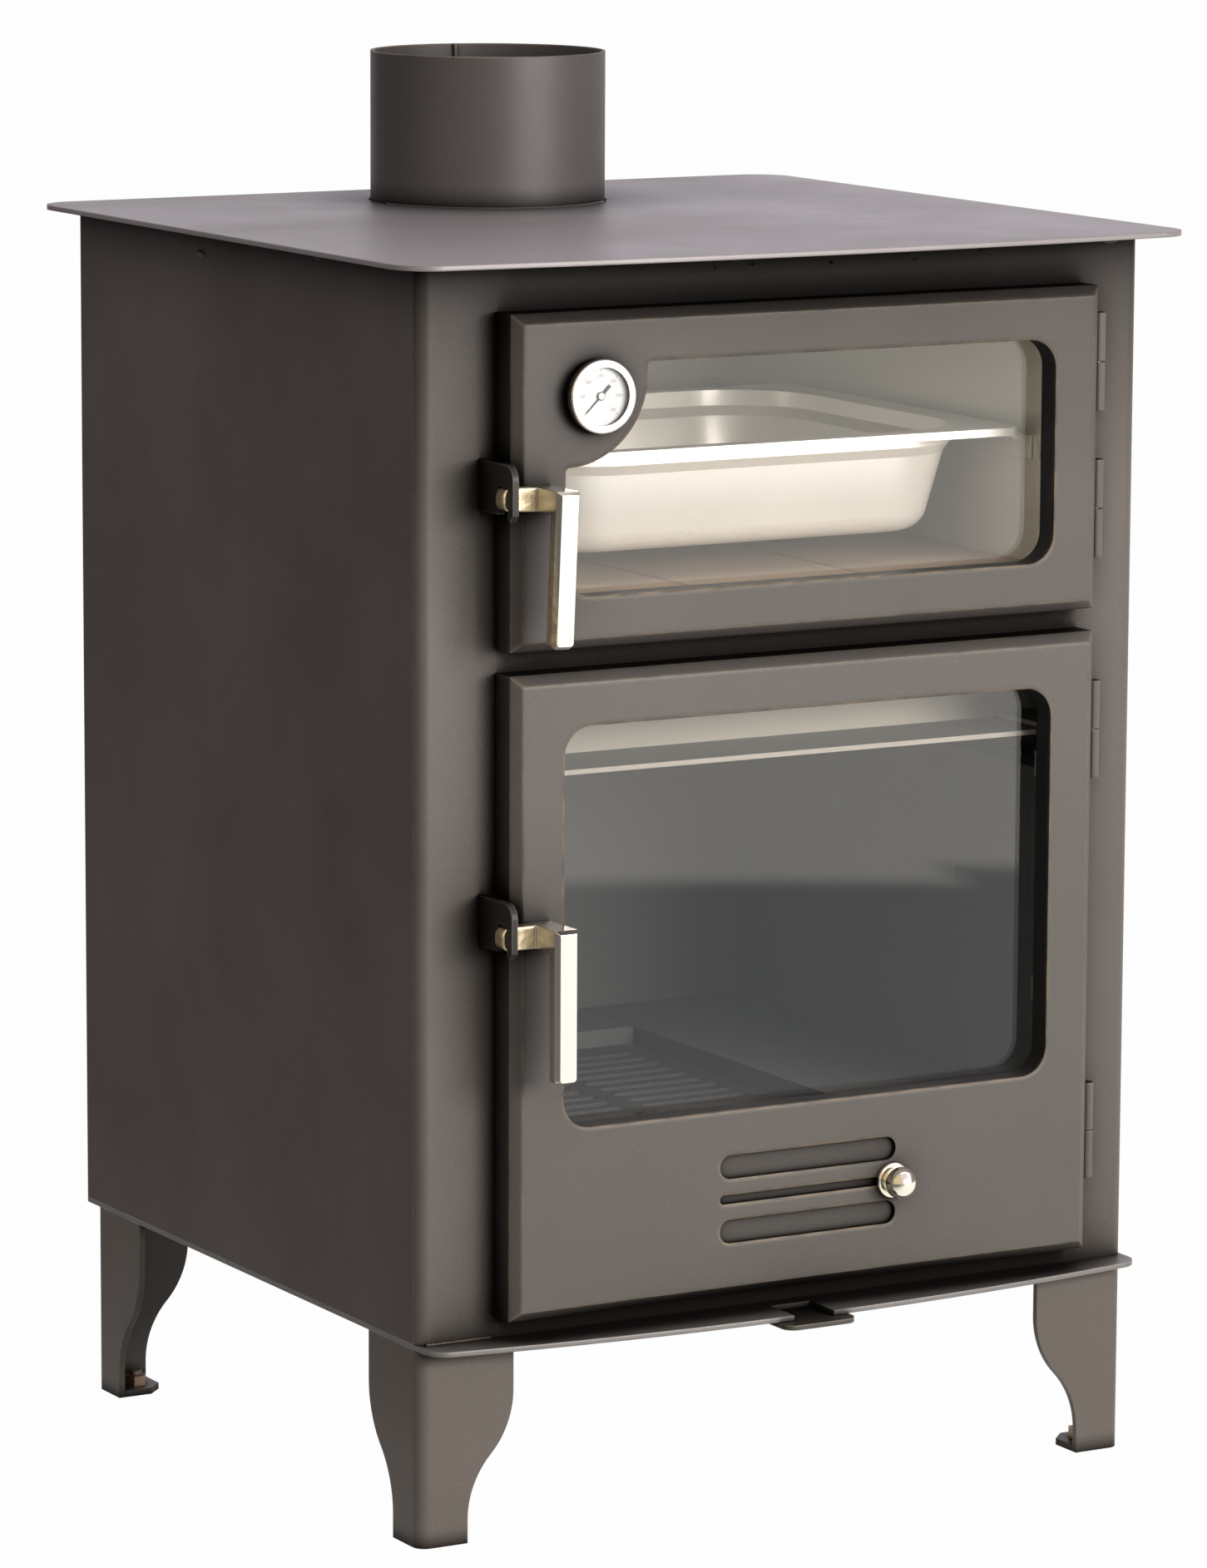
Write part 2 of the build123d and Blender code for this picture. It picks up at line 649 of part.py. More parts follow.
def screw_place(place):
    """Where a clip's screw stands, midway along the clip's foot."""
    x, z, dx, dz = place
    out = (CLIP_GAP + CLIP_THICKNESS + CLIP_REACH) / 2
    return x + dx * out, z + dz * out


def screw_holes(places):
    """The holes through clips and flange that the screws pass."""
    holes = []
    for place in places:
        x, z = screw_place(place)
        holes.append(rod_y(x, z, SCREW_RADIUS + SCREW_CLEARANCE, DOOR_FRONT, 0))
    return holes


def make_clips(places):
    """Z-shaped clips: a foot on the flange and a tongue that presses on the glass."""
    foot_back = FLANGE_BACK + CLIP_THICKNESS
    glass_back = GLASS_FRONT + GLASS_THICKNESS
    tongue_back = glass_back + CLIP_THICKNESS
    riser = CLIP_GAP + CLIP_THICKNESS
    edge = Polyline((CLIP_GAP, FLANGE_BACK), (CLIP_REACH, FLANGE_BACK), (CLIP_REACH, foot_back),
                    (riser, foot_back), (riser, tongue_back), (-CLIP_TONGUE, tongue_back),
                    (-CLIP_TONGUE, glass_back), (CLIP_GAP, glass_back), (CLIP_GAP, FLANGE_BACK))
    clip = extrude(make_face(edge), amount=CLIP_WIDTH / 2, both=True)
    clips = []
    for x, z, dx, dz in places:
        turned = Plane(origin=(x, 0, z), x_dir=(dx, 0, dz), z_dir=(-dz, 0, dx))
        clips.append(turned * clip - screw_holes([(x, z, dx, dz)]))
    return group(clips)


def make_screws(places):
    """Hexagon screws that hold the clips down on the flange."""
    screws = []
    seat = FLANGE_BACK + CLIP_THICKNESS
    tip = FLANGE_BACK - COLLAR_WALL - SCREW_PAST_FLANGE
    for place in places:
        x, z = screw_place(place)
        head = upright(Pos(x, z) * hexagon(SCREW_HEAD), seat, seat + SCREW_HEAD_HEIGHT)
        screws.append(head + rod_y(x, z, SCREW_RADIUS, tip, seat))
    return group(screws)


# Hinges
def make_frame_knuckles(levels):
    """The lower half of each weld-on barrel, with its foot on the front panel."""
    knuckles = []
    for level in levels:
        low = level - BARREL_LENGTH / 2
        high = level - BARREL_SPLIT / 2
        barrel = rod_z(HINGE_X, HINGE_Y, BARREL_RADIUS, low, high)
        inner = HINGE_X - LEAF_OFFSET
        leaf = block(inner, inner + LEAF_WIDTH, HINGE_Y, 0, low, high)
        knuckles.append(barrel + leaf - rod_z(HINGE_X, HINGE_Y, PIN_RADIUS, low - PAST, high + PAST))
    return group(knuckles)


def make_hinge_pins(levels):
    """The pins pressed into the lower barrels, standing up into the doors' barrels."""
    pins = []
    for level in levels:
        pins.append(rod_z(HINGE_X, HINGE_Y, PIN_RADIUS, level - BARREL_LENGTH / 2, level + PIN_REACH))
    return group(pins)


def make_door_knuckles(levels):
    """The upper half of each barrel, welded to the door's side by a short leaf."""
    knuckles = []
    for level in levels:
        low = level + BARREL_SPLIT / 2
        high = level + BARREL_LENGTH / 2
        barrel = rod_z(HINGE_X, HINGE_Y, BARREL_RADIUS, low, high)
        leaf = block(DOOR_RIGHT, HINGE_X, HINGE_Y - LEAF_WIDTH / 2, HINGE_Y + LEAF_WIDTH / 2, low, high)
        bore_top = level + PIN_REACH + PIN_HEADROOM
        bore = rod_z(HINGE_X, HINGE_Y, PIN_RADIUS + PIN_CLEARANCE, low - PAST, bore_top)
        knuckles.append(barrel + leaf - bore)
    return group(knuckles)


# Handles and catches
def make_handle(pivot_z, lean):
    """The cast brass handle: hub, latch arm, neck and hanging grip in one piece."""
    half = HUB_WIDTH / 2
    rise = HUB_HEIGHT / 2
    back = DOOR_FRONT - HUB_CLEARANCE
    arm_back = DOOR_FRONT - ARM_FROM_DOOR
    arm_front = arm_back - ARM_THICKNESS
    grip_back = HANDLE_FRONT + GRIP_DEPTH
    hub = block(-half, half, grip_back, back, -rise, rise)
    arm = block(-ARM_LENGTH, -half, arm_front, arm_back, -rise, rise)
    arm = fillet(arm.edges().filter_by(Axis.Y).group_by(Axis.X)[0], ARM_TIP_RADIUS)
    arm = chamfer(arm.faces().sort_by(Axis.Y)[0].edges(), ARM_EDGE)
    grip = block(-half, half, HANDLE_FRONT, grip_back, rise - GRIP_LENGTH, rise)
    grip = fillet(grip.edges().filter_by(Axis.Y).group_by(Axis.Z)[0], GRIP_TIP_RADIUS)
    grip = chamfer(grip.faces().sort_by(Axis.Y)[0].edges(), GRIP_CHAMFER_SIDE, GRIP_CHAMFER_FRONT)
    handle = hub + arm + grip
    handle = handle - rod_y(0, 0, SPINDLE_RADIUS, arm_front, DOOR_FRONT + PAST)
    return Pos(HANDLE_X, 0, pivot_z) * Rotation(0, lean, 0) * handle


def make_spindle(pivot_z):
    """The steel spindle through the door, with its washer and nut on the inside."""
    arm_front = DOOR_FRONT - ARM_FROM_DOOR - ARM_THICKNESS
    washer_front = PANEL_INNER + WASHER_GAP
    nut_front = washer_front + WASHER_THICKNESS
    shank = rod_y(HANDLE_X, pivot_z, SPINDLE_RADIUS, arm_front, nut_front + NUT_HEIGHT)
    washer = rod_y(HANDLE_X, pivot_z, WASHER_RADIUS, washer_front, nut_front)
    nut = upright(Pos(HANDLE_X, pivot_z) * hexagon(NUT_WIDTH), nut_front, nut_front + NUT_HEIGHT)
    return shank + washer + nut


def make_catch(pivot_z):
    """The upright plate on the front panel whose slot, open below, takes the latch arm."""
    top = pivot_z + CATCH_ABOVE
    bottom = pivot_z - CATCH_BELOW
    slot_back = DOOR_FRONT - ARM_FROM_DOOR + SLOT_CLEARANCE
    slot_front = -CATCH_REACH + PRONG_WIDTH
    slot_top = pivot_z + HUB_HEIGHT / 2 + SLOT_HEADROOM
    tip = bottom - PRONG_DROP
    edge = Polyline((0, bottom), (0, top), (-CATCH_REACH, top), (-CATCH_REACH, tip + CATCH_TIP),
                    (-CATCH_REACH + CATCH_TIP, tip), (slot_front, tip + CATCH_TIP_RISE),
                    (slot_front, slot_top), (slot_back, slot_top), (slot_back, bottom), (0, bottom))
    profile = make_face(edge)
    corner = profile.vertices().sort_by_distance((-CATCH_REACH, top, 0))[0]
    profile = fillet(corner, CATCH_CORNER)
    right = DOOR_LEFT - CATCH_FROM_DOOR
    return sideways(profile, right - CATCH_THICKNESS, right)


# Air control
def vent_outline(z, height):
    """A round-ended vent as seen from the front, centred on the door."""
    return Pos(DOOR_OFFSET, FIRE_BASE + z) * SlotOverall(VENT_LENGTH, height)


def knob_x():
    """The knob's place at the right end of its slot."""
    return DOOR_OFFSET + VENT_LENGTH / 2 - KNOB_SLOT_HEIGHT / 2


def slide_edges():
    """Lower and upper edge of the air slide, which laps both vents."""
    low = FIRE_BASE + LOWER_VENT_Z - VENT_HEIGHT / 2 - SLIDE_LAP
    high = FIRE_BASE + UPPER_VENT_Z + VENT_HEIGHT / 2 + SLIDE_LAP
    return low, high


def knob_z():
    """The knob's level, midway between the vents."""
    return FIRE_BASE + (UPPER_VENT_Z + LOWER_VENT_Z) / 2


def make_air_slide():
    """The plain plate behind the vents; it covers them when the knob is at the right."""
    low, high = slide_edges()
    left = DOOR_OFFSET - VENT_LENGTH / 2 - SLIDE_LAP
    right = DOOR_OFFSET + VENT_LENGTH / 2 + SLIDE_LAP
    front = PANEL_INNER + SLIDE_CLEARANCE
    plate = block(left, right, front, front + SLIDE_THICKNESS, low, high)
    return plate - rod_y(knob_x(), knob_z(), KNOB_STEM_RADIUS, DOOR_FRONT, 0)


def make_air_knob():
    """The turned brass knob, with a flange that runs on the door and a stem through the slot."""
    stem_back = PANEL_INNER + SLIDE_CLEARANCE + SLIDE_THICKNESS
    face = DOOR_FRONT - SLIDE_CLEARANCE
    flange_front = face - KNOB_FLANGE_THICKNESS
    flange = rod_y(0, 0, KNOB_FLANGE_RADIUS, flange_front, face)
    flange = fillet(flange.faces().sort_by(Axis.Y)[0].edges(), KNOB_FLANGE_ROUNDING)
    neck = rod_y(0, 0, KNOB_NECK_RADIUS, flange_front - KNOB_NECK_LENGTH, flange_front)
    ball_centre = face - KNOB_REACH + KNOB_RADIUS
    ball = Pos(0, ball_centre, 0) * Sphere(KNOB_RADIUS)
    stem = rod_y(0, 0, KNOB_STEM_RADIUS, face, stem_back)
    return Pos(knob_x(), 0, knob_z()) * (flange + neck + ball + stem)


def make_slide_guides():
    """Two folded strips inside the fire door that hold the air slide's edges."""
    low, high = slide_edges()
    far_left = DOOR_OFFSET - VENT_LENGTH / 2 - SLIDE_LAP - SLIDE_TRAVEL
    left = max(DOOR_LEFT + CHANNEL_EDGE, far_left)
    right = DOOR_OFFSET + VENT_LENGTH / 2 + 2 * SLIDE_LAP
    inner = SLIDE_CLEARANCE
    outer = inner + GUIDE_WALL
    foot = inner + GUIDE_FOOT
    strip = PANEL_INNER + GUIDE_WALL
    hook_front = PANEL_INNER + 2 * SLIDE_CLEARANCE + SLIDE_THICKNESS
    hook_back = hook_front + GUIDE_WALL
    guides = []
    for edge, way in ((low, -1), (high, 1)):
        outline = Polyline((PANEL_INNER, edge + way * inner), (PANEL_INNER, edge + way * foot),
                           (strip, edge + way * foot), (strip, edge + way * outer),
                           (hook_back, edge + way * outer), (hook_back, edge - way * GUIDE_LAP),
                           (hook_front, edge - way * GUIDE_LAP), (hook_front, edge + way * inner),
                           (PANEL_INNER, edge + way * inner))
        guides.append(sideways(make_face(outline), left, right))
    return group(guides)


# Sliding air plate
def make_bottom_slide():
    """The flat plate under the base, with a round-cornered pull tab in front and an air hole."""
    top = LEG_HEIGHT - RAIL_CLEARANCE
    outline = Pos(0, -TAB_REACH + TAB_LENGTH / 2) * Rectangle(TAB_WIDTH, TAB_LENGTH)
    outline = fillet(outline.vertices().sort_by(Axis.Y)[:2], TAB_CORNER)
    outline = outline - air_hole(AIR_HOLE_START + TAB_TRAVEL)
    return flat(outline, top - TAB_THICKNESS, top)


def make_slide_rails():
    """Two stepped rails welded under the base that carry the sliding plate's edges."""
    rails = []
    rear = -TAB_REACH + TAB_LENGTH + RAIL_PAST_PLATE
    foot = LEG_HEIGHT - 2 * RAIL_CLEARANCE - TAB_THICKNESS
    for side in (-1, 1):
        inner = TAB_WIDTH / 2 - RAIL_LAP
        wall = TAB_WIDTH / 2 + RAIL_CLEARANCE
        outer = inner + RAIL_WIDTH
        section = Polyline((inner, foot - RAIL_WALL), (inner, foot), (wall, foot), (wall, LEG_HEIGHT),
                           (outer, LEG_HEIGHT), (outer, LEG_HEIGHT - RAIL_WALL),
                           (wall + RAIL_WALL, LEG_HEIGHT - RAIL_WALL), (wall + RAIL_WALL, foot - RAIL_WALL),
                           (inner, foot - RAIL_WALL))
        face = make_face(section)
        plane = Plane(origin=(0, rear, 0), x_dir=(1, 0, 0), z_dir=(0, -1, 0))
        rail = extrude(plane * face, amount=rear - RAIL_FRONT)
        if side < 0:
            rail = mirror(rail, about=Plane.YZ)
        rails.append(rail)
    return group(rails)


# Oven interior
def oven_floor():
    """Underside of the oven's bricks."""
    return OVEN_BASE + SEAL_OVERLAP + BRICK_PROUD - BRICK_THICKNESS


def make_oven_liner():
    """The welded oven box: floor, roof, two sides and back, open at the front panel."""
    top = OVEN_TOP - SEAL_OVERLAP
    left = OPENING_LEFT
    right = OPENING_RIGHT
    wall = LINER_WALL
    outer = block(left - wall, right + wall, SHEET, OVEN_REAR + wall, oven_floor() - wall, top + wall)
    return outer - block(left, right, 0, OVEN_REAR, oven_floor(), top)


def make_oven_bricks():
    """The firebrick floor of the oven, laid in rows that run front to back."""
    width = (OPENING_RIGHT - OPENING_LEFT - (OVEN_BRICKS + 1) * BRICK_JOINT) / OVEN_BRICKS
    front = SHEET + BRICK_JOINT
    rear = OVEN_REAR - BRICK_JOINT
    low = oven_floor() + BED_GAP
    high = oven_floor() + BRICK_THICKNESS
    bricks = []
    for i in range(OVEN_BRICKS):
        left = OPENING_LEFT + BRICK_JOINT + i * (width + BRICK_JOINT)
        brick = block(left, left + width, front, rear, low, high)
        bricks.append(chamfer(brick.faces().sort_by(Axis.Z)[-1].edges(), BRICK_EDGE))
    return group(bricks)


def pan_rim_z():
    """The level of the baking pan's rim."""
    return oven_floor() + BRICK_THICKNESS + PAN_ABOVE_FLOOR + PAN_HEIGHT


def pan_outline(inset):
    """The pan's mouth in plan, drawn in all round."""
    width = PAN_WIDTH - 2 * PAN_RIM_SIDES - 2 * inset
    depth = PAN_DEPTH - 2 * PAN_RIM_ENDS - 2 * inset
    return RectangleRounded(width, depth, PAN_CORNER - inset)


def rim_outline(inset):
    """The flat rim's outer edge in plan, drawn in all round."""
    return RectangleRounded(PAN_WIDTH - 2 * inset, PAN_DEPTH - 2 * inset, PAN_RIM_CORNER - inset)


def pan_bowl(shrink, top):
    """The bowl with its rounded base, shoulder and upright mouth, drawn in by a wall's thickness."""
    base = pan_rim_z() - PAN_HEIGHT + shrink
    shoulder_high = pan_rim_z() - PAN_SHOULDER
    shoulder_low = shoulder_high - PAN_SHOULDER_FALL
    narrow = Pos(0, 0, shoulder_low) * pan_outline(PAN_SHOULDER_STEP + shrink)
    wide = Pos(0, 0, shoulder_high) * pan_outline(shrink)
    bowl = loft([Pos(0, 0, base) * pan_outline(PAN_TAPER + shrink), narrow])
    bowl = fillet(bowl.faces().sort_by(Axis.Z)[0].edges(), PAN_BASE_FILLET - shrink)
    return bowl + loft([narrow, wide]) + flat(pan_outline(shrink), shoulder_high, top)


def make_baking_pan():
    """The pressed steel pan: tapered body with a shoulder, wide flat rim and a turned-down edge."""
    top = pan_rim_z()
    under = top - PAN_WALL
    rim = flat(rim_outline(0), under, top)
    lip = flat(rim_outline(0) - rim_outline(PAN_WALL), top - PAN_RIM_DROP, under)
    pan = pan_bowl(0, under) + rim + lip - pan_bowl(PAN_WALL, top + PAST)
    return Pos(DOOR_OFFSET, PAN_FROM_FRONT + PAN_DEPTH / 2) * pan


def make_pan_runners():
    """Folded ledges on the oven's side walls that the pan's rim rests and slides on."""
    ledge = pan_rim_z() - PAN_RIM_DROP
    rim_left = DOOR_OFFSET - PAN_WIDTH / 2
    reach = rim_left + RUNNER_LAP
    rear = OVEN_REAR - RUNNER_END_GAP
    wall = OPENING_LEFT + BED_GAP
    shelf = block(wall, reach, PAN_FROM_FRONT, rear, ledge - RUNNER_WALL, ledge)
    web = block(wall, wall + RUNNER_WALL, PAN_FROM_FRONT, rear, ledge - RUNNER_DROP, ledge)
    runner = shelf + web
    return group([runner, mirror(runner, about=Plane.YZ.offset(DOOR_OFFSET))])


# Firebox interior
def hearth_top():
    """The level on which the firebox bricks and grate stand."""
    return BODY_BASE + FIREBOX_FLOOR - BRICK_THICKNESS


def grate_hole(inset):
    """The grate's place in plan, centred on the firebox."""
    return Pos(0, FIREBOX_REAR / 2) * Rectangle(GRATE_WIDTH - 2 * inset, GRATE_DEPTH - 2 * inset)


def make_hearth_plate():
    """The steel shelf across the body, with the ash opening under the grate."""
    inner = HALF_WIDTH - SHEET
    depth = BODY_DEPTH - 2 * SHEET
    outline = Pos(0, SHEET + depth / 2) * Rectangle(2 * inner, depth)
    outline = outline - grate_hole(GRATE_LEDGE)
    for side in (-1, 1):
        outline = outline - Pos(side * inner, SHEET) * Rectangle(2 * BEND_RADIUS, 2 * BEND_RADIUS)
    return flat(outline, hearth_top() - HEARTH_THICKNESS, hearth_top())


def make_grate():
    """The cast grate: two rows of slots between bars that run across, either side of a spine."""
    outline = grate_hole(GRATE_CLEARANCE)
    inner_w = GRATE_WIDTH - 2 * GRATE_CLEARANCE - 2 * GRATE_SIDE_FRAME
    inner_d = GRATE_DEPTH - 2 * GRATE_CLEARANCE - 2 * GRATE_END_FRAME
    slot_length = (inner_w - GRATE_SPINE) / 2
    slot_x = (slot_length + GRATE_SPINE) / 2
    pitch = inner_d / GRATE_SLOTS
    for i in range(GRATE_SLOTS):
        y = FIREBOX_REAR / 2 - inner_d / 2 + pitch * (i + 0.5)
        for x in (-slot_x, slot_x):
            outline = outline - Pos(x, y) * SlotOverall(slot_length, GRATE_SLOT_WIDTH)
    return flat(outline, hearth_top() + BED_GAP, hearth_top() + GRATE_THICKNESS)


def make_hearth_bricks():
    """Four bricks laid flat on the shelf round the grate."""
    low = hearth_top() + BED_GAP
    high = hearth_top() + BRICK_THICKNESS
    inner = HALF_WIDTH - SHEET - BRICK_THICKNESS - 2 * LINING_GAP
    front = BEND_RADIUS + SHEET + LINING_GAP
    rear = FIREBOX_REAR - BRICK_THICKNESS - 2 * LINING_GAP
    beside = GRATE_WIDTH / 2
    between = beside - LINING_GAP
    near = FIREBOX_REAR / 2 - GRATE_DEPTH / 2
    far = FIREBOX_REAR / 2 + GRATE_DEPTH / 2
    return group([
        block(-inner, -beside, front, rear, low, high),
        block(beside, inner, front, rear, low, high),
        block(-between, between, front, near, low, high),
        block(-between, between, far, rear, low, high),
    ])


def make_side_lining(side):
    """Upright firebricks along one side wall; side is -1 left or 1 right."""
    front = BEND_RADIUS + SHEET + LINING_GAP
    rear = FIREBOX_REAR - LINING_GAP
    outer = side * (HALF_WIDTH - SHEET - LINING_GAP)
    inner = outer - side * BRICK_THICKNESS
    low = hearth_top() + BED_GAP
    length = (rear - front - (LINING_BRICKS - 1) * BRICK_JOINT) / LINING_BRICKS
    bricks = []
    for i in range(LINING_BRICKS):
        start = front + i * (length + BRICK_JOINT)
        bricks.append(block(min(inner, outer), max(inner, outer), start, start + length,
                            low, hearth_top() + LINING_HEIGHT))
    return bricks


def make_rear_lining():
    """Upright firebricks along the back wall, between the side linings."""
    reach = HALF_WIDTH - SHEET - BRICK_THICKNESS - 2 * LINING_GAP
    rear = FIREBOX_REAR - LINING_GAP
    front = rear - BRICK_THICKNESS
    low = hearth_top() + BED_GAP
    width = (2 * reach - (LINING_BRICKS - 1) * BRICK_JOINT) / LINING_BRICKS
    bricks = []
    for i in range(LINING_BRICKS):
        left = -reach + i * (width + BRICK_JOINT)
        bricks.append(block(left, left + width, front, rear, low, hearth_top() + LINING_HEIGHT))
    return bricks


def ash_base():
    """The level of the ash pan's underside, just above the doorway's sill."""
    return FIRE_BASE + SEAL_OVERLAP + ASH_SILL_CLEARANCE


def make_ash_pan():
    """The open tray under the grate, welded from five plates, and the lip to pull it by."""
    half = ASH_WIDTH / 2
    wall = ASH_WALL
    front = ASH_FROM_FRONT
    low = ash_base()
    high = low + ASH_HEIGHT
    floor = block(-half, half, front, ASH_REAR, low, low + wall)
    front_wall = block(-half, half, front, front + wall, low + wall, high)
    rear_wall = block(-half, half, ASH_REAR - wall, ASH_REAR, low + wall, high)
    side_wall = block(half - wall, half, front + wall, ASH_REAR - wall, low + wall, high)
    lip_half = ASH_LIP_WIDTH / 2
    lip = block(-lip_half, lip_half, front - ASH_LIP_REACH, front, high - ASH_LIP_THICKNESS, high)
    return group([floor, front_wall, rear_wall, side_wall, mirror(side_wall, about=Plane.YZ), lip])


def make_ash_runners():
    """Two folded angles on the base plate that carry the ash pan."""
    half = ASH_WIDTH / 2
    front = SHEET + LINING_GAP
    top = ash_base() - BED_GAP
    shelf = block(half - ASH_RUNNER_WIDTH, half, front, ASH_REAR, top - ASH_RUNNER_WALL, top)
    web = block(half - ASH_RUNNER_WALL, half, front, ASH_REAR, BODY_BASE, top)
    runner = shelf + web
    return group([runner, mirror(runner, about=Plane.YZ)])


def make_deflector():
    """The folded plate hung from the oven's floor, whose shelf turns air down the glass."""
    roof = oven_floor() - LINER_WALL - BED_GAP
    low = FIRE_TOP - SEAL_OVERLAP - DEFLECTOR_DROP
    front = SHEET + AIR_SLIT
    rear = front + DEFLECTOR_DEPTH
    sheet = DEFLECTOR_SHEET
    edge = Polyline((front, low), (front, low + sheet), (rear - sheet, low + sheet),
                    (rear - sheet, roof), (rear, roof), (rear, low), (front, low))
    profile = make_face(edge)
    heel = profile.vertices().sort_by_distance((rear, low, 0))[0]
    profile = fillet(heel, DEFLECTOR_BEND)
    return sideways(profile, OPENING_LEFT, OPENING_RIGHT)


# Oven thermometer
def gauge_place():
    """The thermometer's centre on the oven door, as x and z."""
    return DOOR_LEFT + GAUGE_FROM_LEFT, OVEN_BASE + GAUGE_HEIGHT


def lens_front():
    """The front face of the lens, behind the bezel's inner edge."""
    return DOOR_FRONT - GAUGE_REACH + BEZEL_THICKNESS


def make_gauge_case():
    """The thermometer's drum, open in front."""
    x, z = gauge_place()
    radius = GAUGE_RADIUS - GAUGE_CASE_WALL
    front = lens_front() + LENS_THICKNESS
    drum = rod_y(x, z, radius, front, DOOR_FRONT)
    return drum - rod_y(x, z, radius - GAUGE_CASE_WALL, front - PAST, DOOR_FRONT - GAUGE_CASE_WALL)


def make_gauge_bezel():
    """The bright turned ring that holds the thermometer's lens."""
    x, z = gauge_place()
    front = DOOR_FRONT - GAUGE_REACH
    ring = rod_y(x, z, GAUGE_RADIUS, front, front + BEZEL_DEPTH)
    ring = fillet(ring.faces().sort_by(Axis.Y)[0].edges(), BEZEL_ROUNDING)
    ring = ring - rod_y(x, z, GAUGE_RADIUS - GAUGE_CASE_WALL, lens_front(), front + BEZEL_DEPTH + PAST)
    return ring - rod_y(x, z, GAUGE_RADIUS - GAUGE_BEZEL, front - PAST, front + BEZEL_DEPTH)


def dial_front():
    """The dial's face."""
    return DOOR_FRONT - GAUGE_REACH + DIAL_RECESS


def make_gauge_dial():
    """The white dial disc, with the post that the needle turns on."""
    x, z = gauge_place()
    radius = GAUGE_RADIUS - 2 * GAUGE_CASE_WALL - LENS_CLEARANCE
    dial = rod_y(x, z, radius, dial_front(), dial_front() + DIAL_THICKNESS)
    post_front = dial_front() - NEEDLE_GAP - NEEDLE_THICKNESS - NEEDLE_POST_PROUD
    return dial + rod_y(x, z, NEEDLE_POST_RADIUS - PIN_CLEARANCE, post_front, dial_front())


def make_gauge_lens():
    """The clear disc under the bezel."""
    x, z = gauge_place()
    radius = GAUGE_RADIUS - GAUGE_CASE_WALL - LENS_CLEARANCE
    return rod_y(x, z, radius, lens_front(), lens_front() + LENS_THICKNESS)


def make_gauge_stem():
    """The probe through the door into the oven, with its nut behind the door's frame."""
    x, z = gauge_place()
    stem = rod_y(x, z, STEM_RADIUS, DOOR_FRONT, DOOR_FRONT + STEM_LENGTH)
    nut = upright(Pos(x, z) * hexagon(STEM_NUT_WIDTH), FLANGE_BACK, FLANGE_BACK + STEM_NUT_HEIGHT)
    return stem + nut


def make_gauge_needle():
    """The pointer with its round hub and thick tail, resting at the lowest mark."""
    x, z = gauge_place()
    back = dial_front() - NEEDLE_GAP
    front = back - NEEDLE_THICKNESS
    root = NEEDLE_WIDTH / 2
    tip = NEEDLE_TIP_WIDTH / 2
    blade = Polyline((0, root), (NEEDLE_LENGTH, tip), (NEEDLE_LENGTH, -tip), (0, -root), (0, root))
    blade = make_face(blade)
    tail = Pos(-NEEDLE_TAIL / 2, 0) * Rectangle(NEEDLE_TAIL, NEEDLE_TAIL_WIDTH)
    outline = blade + tail + Circle(NEEDLE_HUB_RADIUS) - Circle(NEEDLE_POST_RADIUS)
    outline = Pos(x, z) * Rotation(0, 0, NEEDLE_REST_ANGLE) * outline
    return upright(outline, front, back)


# Body
save("front_panel", make_front_panel())
save("side_panel_left", make_side_panel(-1))
save("side_panel_right", make_side_panel(1))
save("back_panel", make_back_panel())
save("top_plate", make_top_plate())
save("bottom_plate", make_bottom_plate())
save("flue_collar", make_flue_collar())
for side, side_name in ((-1, "left"), (1, "right")):
    for back, end_name in ((False, "front"), (True, "rear")):
        save("leg_" + end_name + "_" + side_name, make_leg(side, back))
save("foot_plates", make_foot_plates())
save("foot_bolts", make_foot_bolts())
save("oven_liner", make_oven_liner())
save("oven_floor_bricks", make_oven_bricks())
save("pan_runners", make_pan_runners())
save("baking_pan", make_baking_pan())
save("hearth_plate", make_hearth_plate())
save("hearth_bricks", make_hearth_bricks())
save("firebrick_linings", group(make_side_lining(-1) + make_side_lining(1) + make_rear_lining()))
save("grate", make_grate())
save("ash_pan", make_ash_pan())
save("ash_pan_runners", make_ash_runners())
save("airwash_deflector", make_deflector())
save("slide_rails", make_slide_rails())
save("bottom_air_slide", make_bottom_slide())

oven_pivot = OVEN_BASE + OVEN_HANDLE_HEIGHT
fire_pivot = FIRE_BASE + FIRE_HANDLE_HEIGHT
save("catch_plates", group([make_catch(oven_pivot), make_catch(fire_pivot)]))
oven_hinges = (OVEN_BASE + OVEN_HINGE_LOW, OVEN_BASE + OVEN_HINGE_HIGH)
fire_hinges = (FIRE_BASE + FIRE_HINGE_LOW, FIRE_BASE + FIRE_HINGE_HIGH)
hinge_splits = oven_hinges + fire_hinges
save("frame_hinge_barrels", make_frame_knuckles(hinge_splits))
save("hinge_pins", make_hinge_pins(hinge_splits))

# Oven door
oven_window_z = OVEN_BASE + OVEN_DOOR_HEIGHT / 2
oven_window_height = OVEN_WINDOW_HEIGHT
gauge_x, gauge_z = gauge_place()
stem_hole = rod_y(gauge_x, gauge_z, STEM_RADIUS, DOOR_FRONT - PAST, PAST)
spindle_hole_radius = SPINDLE_RADIUS + SPINDLE_CLEARANCE
spindle_hole = rod_y(HANDLE_X, oven_pivot, spindle_hole_radius, DOOR_FRONT - PAST, PANEL_INNER + PAST)
oven_cut = upright(window(oven_window_height, oven_window_z, 0, True), DOOR_FRONT - PAST, 0)
oven_panel = make_door_panel(OVEN_BASE, OVEN_DOOR_HEIGHT) - oven_cut
save("oven_door_panel", oven_panel - stem_hole - spindle_hole)
oven_edge = OVEN_BASE + CHANNEL_EDGE
oven_collar = make_collar(OVEN_BASE, OVEN_DOOR_HEIGHT, oven_window_height, oven_window_z, True, oven_edge)
